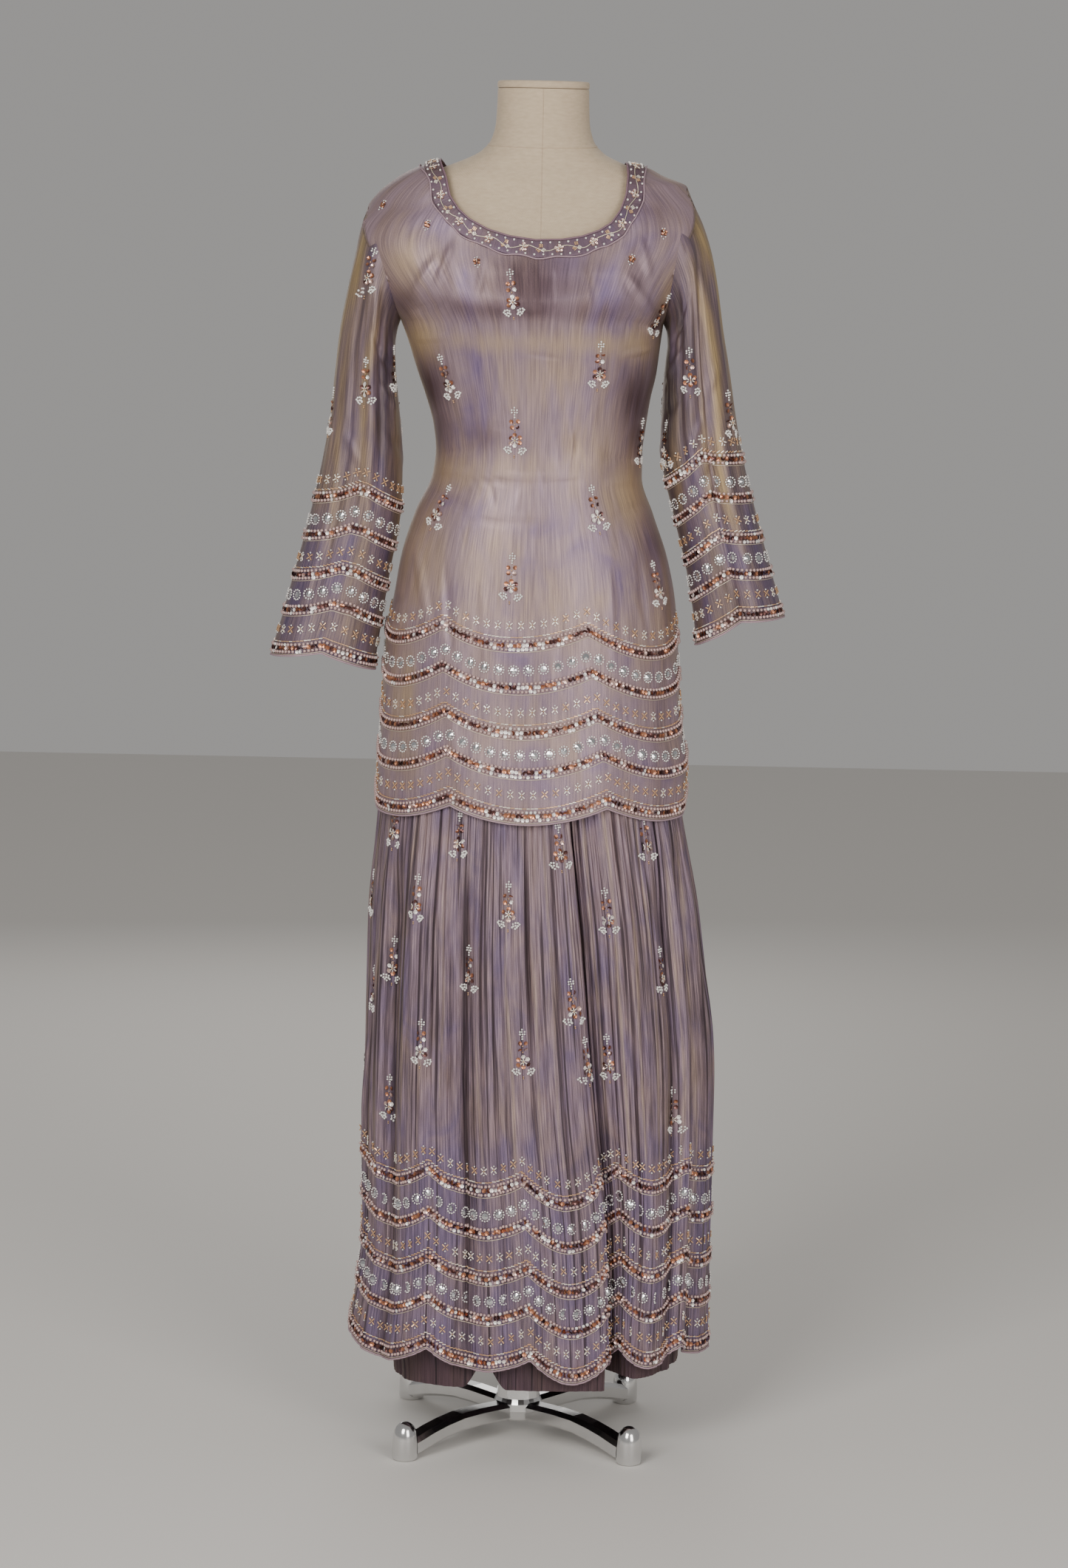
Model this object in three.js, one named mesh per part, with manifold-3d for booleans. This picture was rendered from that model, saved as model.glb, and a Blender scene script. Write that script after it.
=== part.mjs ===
import * as THREE from "three";
import { mergeVertices } from "three/addons/utils/BufferGeometryUtils.js";
import Module from "manifold-3d";

// A sharara suit on a limbless dress form: kurti, flared trousers, form and cast base.
// Millimetres, +Z up, the front faces -Y, the origin is on the floor under the pole.

const manifold = await Module();
manifold.setup();

// Thicknesses and gaps
const CLOTH = 1.2;
const SEAM_GAP = 0.3;
const HALF_SEAM = SEAM_GAP / 2;

// Grid sizes of the pieces
const PANEL_COLUMNS = 21;
const SHOULDER_ROWS = 3;
const ARMHOLE_ROWS = 8;
const SIDE_ROWS = 10;
const PANEL_ROWS = SHOULDER_ROWS + ARMHOLE_ROWS + SIDE_ROWS;
const LEG_COLUMNS = 48;
const FORM_COLUMNS = 26;

// Garment torso: left and right half widths, front and back depths at a height
// height, left, right, front, back
const TORSO = [
  [745, 181, 181, 128, 132],
  [808, 179, 184, 125, 130],
  [859, 176, 176, 121, 128],
  [910, 174, 172, 118, 127],
  [961, 171, 169, 115, 125],
  [1002, 163, 165, 112, 121],
  [1050, 155, 155, 108, 112],
  [1102, 139, 137, 102, 97],
  [1145, 120, 123, 97, 84],
  [1173, 117, 123, 96, 82],
  [1201, 120, 126, 98, 84],
  [1236, 130, 131, 102, 87],
  [1264, 140, 137, 106, 90],
  [1298, 151, 141, 113, 94],
  [1322, 160, 144, 118, 96],
  [1338, 165, 146.5, 120, 97],
  [1380, 178.1, 152.9, 109, 98],
  [1400, 184.4, 156, 101, 97],
  [1420, 190.6, 159, 93, 95],
  [1450, 200, 163.6, 83, 90],
  [1456, 197, 164.5, 80, 88],
  [1470, 185, 166.6, 76, 84],
  [1479, 174, 168, 74, 81],
  [1492, 154, 139, 70, 76],
  [1502, 128, 118, 67, 70],
  [1505, 117, 97, 66, 68],
];

// Armholes: side, shoulder tip and underarm as x and z, half depth front to back
const ARMHOLE = {
  left: { tip: [-200, 1450], under: [-160, 1322], depth: 62 },
  right: { tip: [168, 1479], under: [144, 1322], depth: 62 },
};
const ROUND = 0.9;
const MID_X = -4;

// Neckline, front and back: x and height on the cloth's edge, x and height on the band's outer edge
const NECK = {
  front: [
    [-117, 1505, -136, 1499.5], [-109, 1486, -129, 1481], [-104, 1465, -123, 1457],
    [-94, 1450, -108, 1435], [-81, 1439, -91, 1421.5], [-60, 1428, -66.5, 1409],
    [-36, 1421, -39.5, 1401], [-6, 1417, -6, 1397], [24, 1418, 26, 1398],
    [47, 1422, 52.5, 1402.5], [66, 1429, 75.5, 1411.5], [80, 1438, 94.5, 1424.5],
    [90, 1452, 108, 1443], [96, 1469, 115.5, 1465], [98, 1490, 118, 1488],
    [97, 1505, 117.5, 1502.2],
  ],
  back: [
    [-117, 1505, -136, 1499.5], [-108, 1492, -125, 1477.5], [-94, 1481, -106, 1463],
    [-70, 1472, -77, 1453], [-36, 1467, -39, 1447], [-6, 1465, -6, 1445],
    [24, 1466, 26, 1446], [52, 1471, 57.5, 1452], [76, 1480, 88, 1463.5],
    [90, 1491, 107.5, 1480], [97, 1505, 117.5, 1502.2],
  ],
};

// Hem of the kurti: lobes across a panel, their rise, and the height of a lobe's low point
const KURTI_HEM = { lobes: 3, rise: 18, low: 751 };

// How far the rows of a panel dip in the middle below the armholes
const PANEL_DROP = { front: 60, back: 40 };

// Long soft folds of a kurti panel: place across, depth, half width, height where it ends
const KURTI_FOLDS = {
  front: [[0.1, 3, 0.07, 960], [0.3, -3, 0.09, 930], [0.5, 3, 0.12, 900], [0.72, -3, 0.09, 930], [0.9, 4, 0.06, 1000]],
  back: [[0.12, 5, 0.08, 1000], [0.32, -5, 0.09, 960], [0.5, 5, 0.1, 940], [0.68, -5, 0.08, 970], [0.88, 5, 0.07, 1000]],
};

// Sleeves: outer x and z, inner x and z, half depth, middle y, a row per ring below the armhole
const SLEEVE_RIGHT = [
  [-208, 1425, -164, 1308, 62, 0],
  [-214, 1394, -166, 1290, 62, -1],
  [-222, 1355, -165, 1266, 61, -2],
  [-230, 1310, -162, 1236, 60, -4],
  [-235, 1262, -158, 1200, 58, -6],
  [-240, 1210, -155, 1160, 56, -8],
  [-248, 1160, -155, 1118, 54, -10],
  [-258, 1112, -159, 1077, 52, -11],
  [-269, 1066, -166, 1040, 51, -12],
  [-281, 1022, -172, 1004, 50, -12],
  [-292, 982, -178, 966, 50, -12],
  [-300, 957, -182, 940, 50, -12],
  [-305, 937, -184, 922, 50, -12],
];
const SLEEVE_LEFT = [
  [176, 1460, 148, 1312, 62, 0],
  [187, 1437, 149, 1298, 62, -1],
  [198, 1404, 147, 1276, 61, -2],
  [206, 1365, 145, 1248, 60, -4],
  [213, 1318, 144, 1214, 58, -6],
  [222, 1268, 143, 1178, 56, -8],
  [230, 1218, 150, 1142, 54, -10],
  [240, 1168, 159, 1108, 52, -11],
  [252, 1122, 168, 1074, 51, -12],
  [264, 1080, 177, 1040, 50, -12],
  [276, 1042, 184, 1006, 50, -12],
  [285, 1015, 188, 980, 50, -12],
  [292, 993, 190, 958, 50, -12],
];
const CUFF_HEM = { lobes: 2, rise: 14 };

// Long folds of a sleeve: turn at the top and at the cuff in degrees, depth, half width in degrees
const SLEEVE_FOLDS = {
  left: [[70, 84, -5, 34], [262, 285, -5, 36]],
  right: [[52, 108, -8, 34], [285, 262, -6, 36]],
};

// Dress form: half width, front and back depth at a height
const FORM = [
  [860, 150, 84, 100], [875, 156, 92, 108], [920, 160, 98, 115], [961, 160, 100, 117],
  [1002, 156, 98, 113], [1050, 146, 94, 104], [1086, 134, 89, 93], [1115, 124, 84, 82],
  [1145, 113, 81, 75], [1173, 112, 82, 74], [1201, 114, 84, 76], [1236, 121, 90, 80],
  [1264, 128, 96, 83], [1300, 134, 105, 87], [1338, 139, 113, 90], [1380, 145, 103, 91],
  [1420, 151, 87, 88], [1450, 155, 77, 83], [1470, 150, 70, 77], [1484, 136, 65, 71],
  [1494, 112, 60.5, 64], [1501, 93, 57.5, 60], [1508, 80, 56.5, 58], [1516, 69, 55.5, 56.5],
  [1530, 59, 54, 54], [1550, 54, 51.5, 51.5], [1570, 53, 50.5, 50.5], [1588, 52.5, 50, 50],
];
const FORM_ROUND = 0.97;
const NECK_CAP = { half: 53, depth: 50.5, low: 1588.3, high: 1597, edge: 2 };

// Waistband and hip yoke of the trousers: height, gap off the form
const WAISTBAND = { high: 1115, low: 1086, gap: 0.6, thick: 1.5 };
const YOKE = [
  [1084.9, 137.2, 137.2, 92.4, 96.6], [1050, 149.2, 149.2, 97, 107], [1002, 158.8, 159.5, 101, 115.5],
  [961, 163.2, 163.5, 103.5, 119.5], [910, 165, 165, 106, 119.5], [870, 167, 166.5, 109, 119.5],
  [838.9, 168.5, 167.5, 111.5, 119.5],
];

// Trouser legs: rings of twelve points, from the inner front edge round the outside and back
const LEG_RIGHT = [
  { z: 838, ring: [[33, -109], [0, -111.5], [-45, -107.5], [-95, -92.5], [-140, -63.5], [-168, -6], [-151, 58], [-105, 94], [-45, 115], [14, 119], [27, 40], [31, -42]] },
  { z: 760, ring: [[44, -117], [5, -120.5], [-45, -117.5], [-97, -103], [-146, -71], [-174, -8], [-157, 62], [-108, 102], [-45, 122], [15, 123], [32, 42], [32, -46]] },
  { z: 620, ring: [[60, -125], [12, -132], [-45, -130], [-102, -117], [-156, -80], [-185, -10], [-168, 66], [-112, 112], [-48, 128], [5, 126], [34, 38], [46, -56]] },
  { z: 430, ring: [[79, -132], [25, -139], [-38, -138], [-102, -125], [-160, -86], [-187, -12], [-170, 68], [-115, 116], [-54, 132], [-9, 124], [34, 32], [58, -65]] },
  { z: 260, ring: [[98, -132], [42, -143], [-28, -142], [-98, -129], [-158, -92], [-185, -14], [-170, 68], [-118, 120], [-55, 135], [-14, 124], [36, 26], [68, -73]] },
  { z: 120, ring: [[105, -131], [50, -148], [-22, -146], [-98, -137], [-168, -102], [-202, -20], [-182, 72], [-122, 126], [-55, 138], [-20, 120], [36, 18], [74, -81]] },
];
const LEG_LEFT = [
  { z: 838, ring: [[44, -106], [84, -96], [121, -75], [149, -44], [165.5, -2], [157, 43], [132, 78], [96, 99], [62, 109], [28, 116], [37, 40], [43, -40]] },
  { z: 760, ring: [[48, -98], [92, -103], [133, -83], [162, -50], [176, -2], [164, 46], [136, 80], [98, 102], [60, 113], [27, 118], [41, 42], [46, -46]] },
  { z: 620, ring: [[63, -98], [110, -113], [152, -96], [187, -60], [202, -5], [190, 52], [158, 95], [112, 120], [62, 130], [16, 127], [41, 38], [56, -54]] },
  { z: 430, ring: [[80, -100], [125, -119], [168, -99], [204, -62], [220, -4], [206, 58], [170, 102], [118, 128], [63, 136], [12, 130], [45, 33], [70, -62]] },
  { z: 260, ring: [[96, -99], [134, -121], [170, -106], [206, -68], [220, -5], [208, 60], [172, 106], [120, 132], [62, 140], [2, 132], [44, 24], [80, -68]] },
  { z: 120, ring: [[102, -97], [132, -123], [168, -114], [203, -78], [221, -10], [210, 60], [176, 110], [122, 136], [62, 144], [-3, 132], [45, 16], [86, -73]] },
];

// Folds of a leg: place at the top, place at the hem, depth, half width, height where it starts
const LEG_FOLDS = {
  right: [
    [0.5, 0.5, -5, 0.4, 420], [1.5, 1.5, 5, 0.5, 740], [2.5, 2.5, -11, 0.4, 700],
    [3.25, 3.25, 4, 0.4, 700], [4, 4, -11, 0.38, 730], [4.75, 4.75, 5, 0.4, 500],
    [5.5, 5.5, -11, 0.4, 730], [6.5, 6.5, -12, 0.4, 700], [7.25, 7.25, -11, 0.4, 730],
    [8.25, 8.25, -10, 0.4, 700], [9.25, 9.25, -4, 0.5, 600], [10, 10, -6, 0.4, 500],
  ],
  left: [
    [1.5, 1.5, 4, 0.4, 700], [2.25, 2.25, -9, 0.4, 730], [3, 3, -13, 0.38, 740],
    [3.75, 3.75, 5, 0.4, 600], [4.5, 4.5, -12, 0.4, 730], [5.25, 5.25, -12, 0.4, 700],
    [6.25, 6.25, -12, 0.4, 730], [7.25, 7.25, -12, 0.4, 700], [8.25, 8.25, -11, 0.4, 730],
    [9.25, 9.25, -4, 0.5, 600], [10, 10, -6, 0.4, 500],
  ],
};
const LEG_FOLD_FADE = 110;

// Hem of a leg: places of the peaks round the ring, the rise, and the low height at each ring point
const LEG_HEM = {
  right: { peaks: [0.05, 1.52, 3.12, 5.0, 7.1, 9.3], rise: 24,
    low: [99, 97, 108, 110, 112, 122, 118, 112, 110, 110, 106, 101] },
  left: { peaks: [0.55, 2.6, 4.6, 6.8, 9.0, 10.6], rise: 20,
    low: [114, 112, 113, 112, 116, 120, 118, 114, 112, 112, 112, 114] },
};
const LEG_ROW_HEIGHTS = [838, 790, 735, 675, 610, 545, 480, 415, 350, 285, 225, 170];

// Lining tubes in the lower part of the legs: top height, hem height, how far in the hem stands
// and its waves at the ring's points, and where the hem is lifted
const LINING = {
  right: { top: 205, hem: 85,
    inset: [5, 12, 16, 22, 36, 54, 40, 20, 15, 15, 15, 9],
    waves: [1, 1, 0, 0, 0, 2, 6, 8, 6, 4, 2, 0],
    notch: { place: 2.25, half: 0.35, rise: 30 } },
  left: { top: 205, hem: 96,
    inset: [12, 13, 15, 24, 32, 30, 20, 15, 13, 12, 12, 12],
    waves: [2, 0, 3, 5, 4, 2, 2, 2, 2, 2, 2, 2],
    notch: { place: 6, half: 0.35, rise: 8 } },
};
const LINING_ROWS = 3;
const LINING_GAP = 1.2;

// Neck band: its thickness on the cloth
const BAND_THICK = 1.1;

// Pole and cast base
const POLE = { radius: 16.5, low: 96.3, high: 859.7 };
const HUB = [
  [0, 17], [24, 17], [28, 20], [29.5, 30], [28.5, 38], [26, 44], [24.5, 56], [22, 72], [20.5, 84],
  [20, 96], [0, 96],
];
const ARM_PATH = [
  [12, 29], [40, 30], [70, 31], [100, 30.5], [126, 27], [148, 22.5], [166, 17.5], [180, 14],
];
const ARM_SECTION = [
  [-13, -7], [-10, -10], [10, -10], [13, -7], [13, 5], [8, 10], [-8, 10], [-13, 5],
];
const FOOT_REACH = 185;
const FOOT = [
  [0, 0], [13.5, 0], [15, 1.5], [15, 14], [14.6, 24], [13.4, 33], [10.6, 39.5], [6, 43.4], [0, 45],
];

// A value of a table at a height, along smooth curves that never overshoot
function tableValue(table, z, column) {
  const rows = table[0][0] < table[table.length - 1][0] ? table : [...table].reverse();
  const last = rows.length - 1;
  if (z <= rows[0][0]) return rows[0][column];
  if (z >= rows[last][0]) return rows[last][column];
  let i = 0;
  while (rows[i + 1][0] < z) i += 1;
  const step = (k) => (rows[k + 1][column] - rows[k][column]) / (rows[k + 1][0] - rows[k][0]);
  const slope = (k) => {
    if (k === 0 || k === last) return step(Math.min(k, last - 1));
    const a = step(k - 1);
    const b = step(k);
    return a * b <= 0 ? 0 : (2 * a * b) / (a + b);
  };
  const h = rows[i + 1][0] - rows[i][0];
  const t = (z - rows[i][0]) / h;
  const [a, b] = [rows[i][column], rows[i + 1][column]];
  const [m, n] = [slope(i) * h, slope(i + 1) * h];
  return (
    a * (2 * t ** 3 - 3 * t ** 2 + 1) + m * (t ** 3 - 2 * t ** 2 + t) +
    b * (3 * t ** 2 - 2 * t ** 3) + n * (t ** 3 - t ** 2)
  );
}

const lerp = (a, b, t) => a + (b - a) * t;
const clamp = (x) => Math.min(1, Math.max(0, x));
const ease = (x) => clamp(x) ** 2 * (3 - 2 * clamp(x));
const bump = (x) => (Math.abs(x) < 1 ? 0.5 + 0.5 * Math.cos(Math.PI * x) : 0);

// A closed solid from a surface grid: the same surface moved in along its normals, and rims
function shell(grid, thick, closed, normals = gridNormals(grid, closed)) {
  const inner = grid.map((row, i) =>
    row.map((p, j) => p.clone().addScaledVector(normals[i][j], -thick)));
  return solidBetween(grid, inner, closed);
}

// A closed solid between two grids of the same size; turned says where squares are cut the other way
function solidBetween(outer, inner, closed, turned = () => false) {
  const rows = outer.length;
  const columns = outer[0].length;
  const points = [...outer.flat(), ...inner.flat()];
  const out = (i, j) => i * columns + (j % columns);
  const inn = (i, j) => rows * columns + out(i, j);
  const faces = [];
  const quad = (a, b, c, d) => faces.push(a, b, c, a, c, d);
  const spans = closed ? columns : columns - 1;
  for (let j = 0; j < spans; j += 1) {
    for (let i = 0; i < rows - 1; i += 1) {
      const over = [out(i, j), out(i, j + 1), out(i + 1, j + 1), out(i + 1, j)];
      const under = [inn(i, j), inn(i + 1, j), inn(i + 1, j + 1), inn(i, j + 1)];
      if (turned(j)) {
        over.push(over.shift());
        under.push(under.shift());
      }
      quad(...over);
      quad(...under);
    }
    quad(out(0, j), inn(0, j), inn(0, j + 1), out(0, j + 1));
    quad(out(rows - 1, j), out(rows - 1, j + 1), inn(rows - 1, j + 1), inn(rows - 1, j));
  }
  if (!closed) {
    for (let i = 0; i < rows - 1; i += 1) {
      quad(out(i, 0), out(i + 1, 0), inn(i + 1, 0), inn(i, 0));
      const e = columns - 1;
      quad(out(i, e), inn(i, e), inn(i + 1, e), out(i + 1, e));
    }
  }
  return facingOut(points, faces);
}

// Turns every face round when the solid would be inside out
function facingOut(points, faces) {
  let volume = 0;
  for (let i = 0; i < faces.length; i += 3) {
    const [a, b, c] = [points[faces[i]], points[faces[i + 1]], points[faces[i + 2]]];
    volume += a.dot(new THREE.Vector3().crossVectors(b, c));
  }
  if (volume < 0) {
    for (let i = 0; i < faces.length; i += 3) {
      [faces[i + 1], faces[i + 2]] = [faces[i + 2], faces[i + 1]];
    }
  }
  const geometry = new THREE.BufferGeometry().setFromPoints(points);
  geometry.setIndex(faces);
  geometry.computeVertexNormals();
  return geometry;
}

// Normals of a grid, pointing away from the middle line of each row
function gridNormals(grid, closed) {
  const rows = grid.length;
  const columns = grid[0].length;
  const at = (i, j) => {
    const r = Math.min(rows - 1, Math.max(0, i));
    const c = closed ? (j + columns) % columns : Math.min(columns - 1, Math.max(0, j));
    return grid[r][c];
  };
  const normals = grid.map((row, i) => row.map((_, j) => {
    const across = new THREE.Vector3().subVectors(at(i, j + 1), at(i, j - 1));
    const down = new THREE.Vector3().subVectors(at(i + 1, j), at(i - 1, j));
    return across.cross(down).normalize();
  }));
  const row = Math.floor(rows / 2);
  const middle = grid[row].reduce((sum, p) => sum.add(p), new THREE.Vector3());
  middle.divideScalar(columns);
  const votes = grid[row].reduce((sum, p, j) =>
    sum + new THREE.Vector3().subVectors(p, middle).dot(normals[row][j]), 0);
  if (votes < 0) normals.flat().forEach((n) => n.negate());
  return normals;
}

// Half width of the garment's torso on one side; between tip and underarm it is the armhole's line
function torsoHalf(z, side) {
  return tableValue(TORSO, z, side === "left" ? 1 : 2);
}

// Where a side edge stands: its height down the rows from the neck point to the hem
function edgeHeight(row, side) {
  const { tip, under } = ARMHOLE[side];
  const neck = side === "left" ? NECK.front[0] : NECK.front[NECK.front.length - 1];
  if (row === 0) return neck[1];
  if (row <= SHOULDER_ROWS) return lerp(neck[3], tip[1], (row - 1) / (SHOULDER_ROWS - 1));
  const armholeRow = row - SHOULDER_ROWS;
  if (armholeRow <= ARMHOLE_ROWS) {
    const turn = (Math.PI * armholeRow) / ARMHOLE_ROWS;
    return (tip[1] + under[1]) / 2 + ((tip[1] - under[1]) / 2) * Math.cos(turn);
  }
  return lerp(under[1], KURTI_HEM.low + KURTI_HEM.rise,
    (armholeRow - ARMHOLE_ROWS) / SIDE_ROWS);
}

// How far an armhole's edge stands from the side line at a height
function armholeDepth(z, side) {
  const { tip, under, depth } = ARMHOLE[side];
  if (z >= tip[1] || z <= under[1]) return 0;
  const c = (z - (tip[1] + under[1]) / 2) / ((tip[1] - under[1]) / 2);
  return depth * Math.sqrt(Math.max(0, 1 - c * c));
}

// Angle of the panel's edge round the torso at a height
function edgeAngle(z, side, depth) {
  return Math.asin(clamp((armholeDepth(z, side) / depth) ** (1 / ROUND)));
}

// A point of the torso at a height and an angle from the left side line to the right one
function torsoPoint(z, angle, face) {
  const depth = tableValue(TORSO, z, face === "front" ? 3 : 4);
  const side = angle < Math.PI / 2 ? "left" : "right";
  const sign = side === "left" ? -1 : 1;
  const width = Math.abs(sign * torsoHalf(z, side) - MID_X) /
    Math.cos(edgeAngle(z, side, depth));
  const x = MID_X + sign * width * Math.abs(Math.cos(angle));
  const y = depth * Math.max(0, Math.sin(angle)) ** ROUND;
  return new THREE.Vector3(x, face === "front" ? -y : y, z);
}

// A row of a neckline table at a share of the neckline's length
function neckAt(line, share) {
  const lengths = line.slice(1).map((p, i) => Math.hypot(p[0] - line[i][0], p[1] - line[i][1]));
  let left = share * lengths.reduce((a, b) => a + b, 0);
  let i = 0;
  while (i < lengths.length - 1 && left > lengths[i]) {
    left -= lengths[i];
    i += 1;
  }
  return line[i].map((value, c) => lerp(value, line[i + 1][c], clamp(left / lengths[i])));
}

// Depth of the scallop below its peaks, 0 at a peak and 1 at a lobe's low point
const scallop = (share) => 1 - (2 * (share - Math.floor(share)) - 1) ** 2;

// The angle at which the torso's surface has a given x at a height
function angleAt(x, z, face) {
  const side = x < MID_X ? "left" : "right";
  const depth = tableValue(TORSO, z, face === "front" ? 3 : 4);
  const sign = side === "left" ? -1 : 1;
  const width = Math.abs(sign * torsoHalf(z, side) - MID_X) /
    Math.cos(edgeAngle(z, side, depth));
  const turned = Math.acos(clamp(Math.abs(x - MID_X) / width));
  return side === "left" ? turned : Math.PI - turned;
}

// A kurti panel's point: u across from left to right, row down from the neckline
function panelPoint(u, row, face) {
  const neck = neckAt(NECK[face], u);
  const [x, z] = row === 0 ? neck : neck.slice(2);
  const onEdge = u === 0 || u === 1;
  if (row <= 1) return torsoPoint(z, onEdge ? u * Math.PI : angleAt(x, z, face), face);
  const heights = ["left", "right"].map((side) => edgeHeight(row, side));
  const depths = heights.map((h) => tableValue(TORSO, h, face === "front" ? 3 : 4));
  const starts = ["left", "right"].map((side, i) => edgeAngle(heights[i], side, depths[i]));
  const even = lerp(starts[0], Math.PI - starts[1], u);
  const pull = 1 - ease((row - 1) / (SHOULDER_ROWS + ARMHOLE_ROWS - 1));
  const outer = [edgeHeight(1, "left"), edgeHeight(1, "right")];
  const sag = (z - lerp(outer[0], outer[1], u)) * pull;
  const low = ease((row - PANEL_ROWS + 5) / 5);
  const drop = PANEL_DROP[face] * (1 - (2 * u - 1) ** 2) * (1 - pull) * (1 - low);
  const scallops = KURTI_HEM.rise * scallop(u * KURTI_HEM.lobes) * low;
  const height = lerp(heights[0], heights[1], u) + sag - drop - scallops;
  const nearNeck = onEdge ? 0 : 1 - ease((row - 1) / 8);
  const angle = lerp(even, angleAt(x, z, face), nearNeck);
  return foldKurti(torsoPoint(height, angle, face), u, face);
}

// Moves a kurti point out or in by the panel's long folds
function foldKurti(p, u, face) {
  const out = KURTI_FOLDS[face].reduce((sum, [place, depth, half, end]) =>
    sum + depth * bump((u - place) / half) * ease((end - p.z) / 170), 0);
  const away = new THREE.Vector3(p.x - MID_X, p.y * 2, 0).normalize();
  return p.addScaledVector(away, out);
}

// The grid of a kurti panel and its normals, straight across the side seams
function kurtiPanel(face) {
  const grid = [];
  for (let row = 0; row <= PANEL_ROWS; row += 1) {
    grid.push([]);
    for (let j = 0; j <= PANEL_COLUMNS; j += 1) {
      const p = panelPoint(j / PANEL_COLUMNS, row, face);
      p.y += face === "front" ? -HALF_SEAM : HALF_SEAM;
      grid[row].push(p);
    }
  }
  const normals = gridNormals(grid, false);
  for (let row = 0; row <= PANEL_ROWS; row += 1) {
    const armhole = row > SHOULDER_ROWS && row < SHOULDER_ROWS + ARMHOLE_ROWS;
    if (armhole) continue;
    for (const j of [0, PANEL_COLUMNS]) normals[row][j].setY(0).normalize();
  }
  return { grid, normals };
}

// A sleeve: its first ring is the armhole's edge moved off the panels, then the table's rings
function sleeve(table, side, front, back) {
  const column = side === "left" ? 0 : PANEL_COLUMNS;
  const { tip, under } = ARMHOLE[side];
  const sign = side === "left" ? -1 : 1;
  const plane = new THREE.Vector3(sign * (tip[1] - under[1]), 0, -sign * (tip[0] - under[0]));
  plane.normalize();
  const edge = (panel, k) => {
    const p = panel.grid[SHOULDER_ROWS + k][column];
    return [p, p.clone().addScaledVector(panel.normals[SHOULDER_ROWS + k][column], -CLOTH)];
  };
  const pairs = [];
  for (let k = 0; k <= ARMHOLE_ROWS; k += 1) pairs.push(edge(front, k));
  for (let k = ARMHOLE_ROWS - 1; k > 0; k -= 1) pairs.push(edge(back, k));
  const off = (p) => p.clone().addScaledVector(plane, SEAM_GAP + 0.1);
  const outer = [pairs.map(([p]) => off(p))];
  const firstInner = pairs.map(([, p]) => off(p));
  const count = pairs.length;
  for (let i = 0; i < table.length; i += 1) outer.push(sleeveRing(table, i, count, SLEEVE_FOLDS[side]));
  const normals = gridNormals(outer, true);
  const inner = outer.map((ring, i) => ring.map((p, j) =>
    i === 0 ? firstInner[j] : p.clone().addScaledVector(normals[i][j], -CLOTH)));
  return solidBetween(outer, inner, true);
}

// One ring of a sleeve, an upright oval high up that ends in the scalloped cuff
function sleeveRing(table, i, count, folds) {
  const [ox, oz, ix, iz, depth, y] = table[i];
  const ring = [];
  const down = i / (table.length - 1);
  const low = ease((i - table.length + 5) / 4);
  for (let k = 0; k < count; k += 1) {
    const turn = (2 * Math.PI * k) / count;
    const c = Math.cos(turn);
    const lift = CUFF_HEM.rise * (0.5 - scallop((CUFF_HEM.lobes * k) / count + 0.5)) * low;
    const out = new THREE.Vector3(((ox - ix) / 2) * c, -depth * Math.sin(turn), ((oz - iz) / 2) * c);
    const move = folds.reduce((sum, [top, cuff, deep, half]) =>
      sum + deep * bump((turn * 180 / Math.PI - lerp(top, cuff, down)) / half) * ease(down * 3), 0);
    const middle = new THREE.Vector3((ox + ix) / 2, y, (oz + iz) / 2 + lift);
    ring.push(middle.add(out.setLength(out.length() + move)));
  }
  return ring;
}

// The neck band: the panels' first two rows moved out, in one ring over both shoulder seams
function neckBand(front, back) {
  const seam = (row, j) => {
    const p = front.grid[row][j].clone().lerp(back.grid[row][j], 0.5);
    return [p, front.normals[row][j]];
  };
  const loop = (row) => {
    const pairs = [seam(row, 0)];
    for (let j = 1; j < PANEL_COLUMNS; j += 1) pairs.push([front.grid[row][j], front.normals[row][j]]);
    pairs.push(seam(row, PANEL_COLUMNS));
    for (let j = PANEL_COLUMNS - 1; j > 0; j -= 1) pairs.push([back.grid[row][j], back.normals[row][j]]);
    return pairs;
  };
  const moved = (out) => [0, 1].map((row) =>
    loop(row).map(([p, normal]) => p.clone().addScaledVector(normal, out)));
  const onBack = (j) => j >= PANEL_COLUMNS;
  return solidBetween(moved(SEAM_GAP + 0.1 + BAND_THICK), moved(SEAM_GAP + 0.1), true, onBack);
}

// A tube of oval rings from a table of height, left and right half width, front and back depth
function ovalGrid(rows, count, round) {
  return rows.map(([z, left, right, front, back]) => {
    const ring = [];
    for (let k = 0; k < count; k += 1) {
      const turn = (2 * Math.PI * k) / count;
      const s = Math.sin(turn);
      const y = Math.abs(s) ** round * (s < 0 ? front : back) * Math.sign(s);
      const c = Math.cos(turn);
      ring.push(new THREE.Vector3(c * (c < 0 ? left : right), y, z));
    }
    return ring;
  });
}

// The form's oval at a height, moved out by a gap
function formOval(z, gap) {
  const half = tableValue(FORM, z, 1) + gap;
  return [z, half, half, tableValue(FORM, z, 2) + gap, tableValue(FORM, z, 3) + gap];
}

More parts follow.
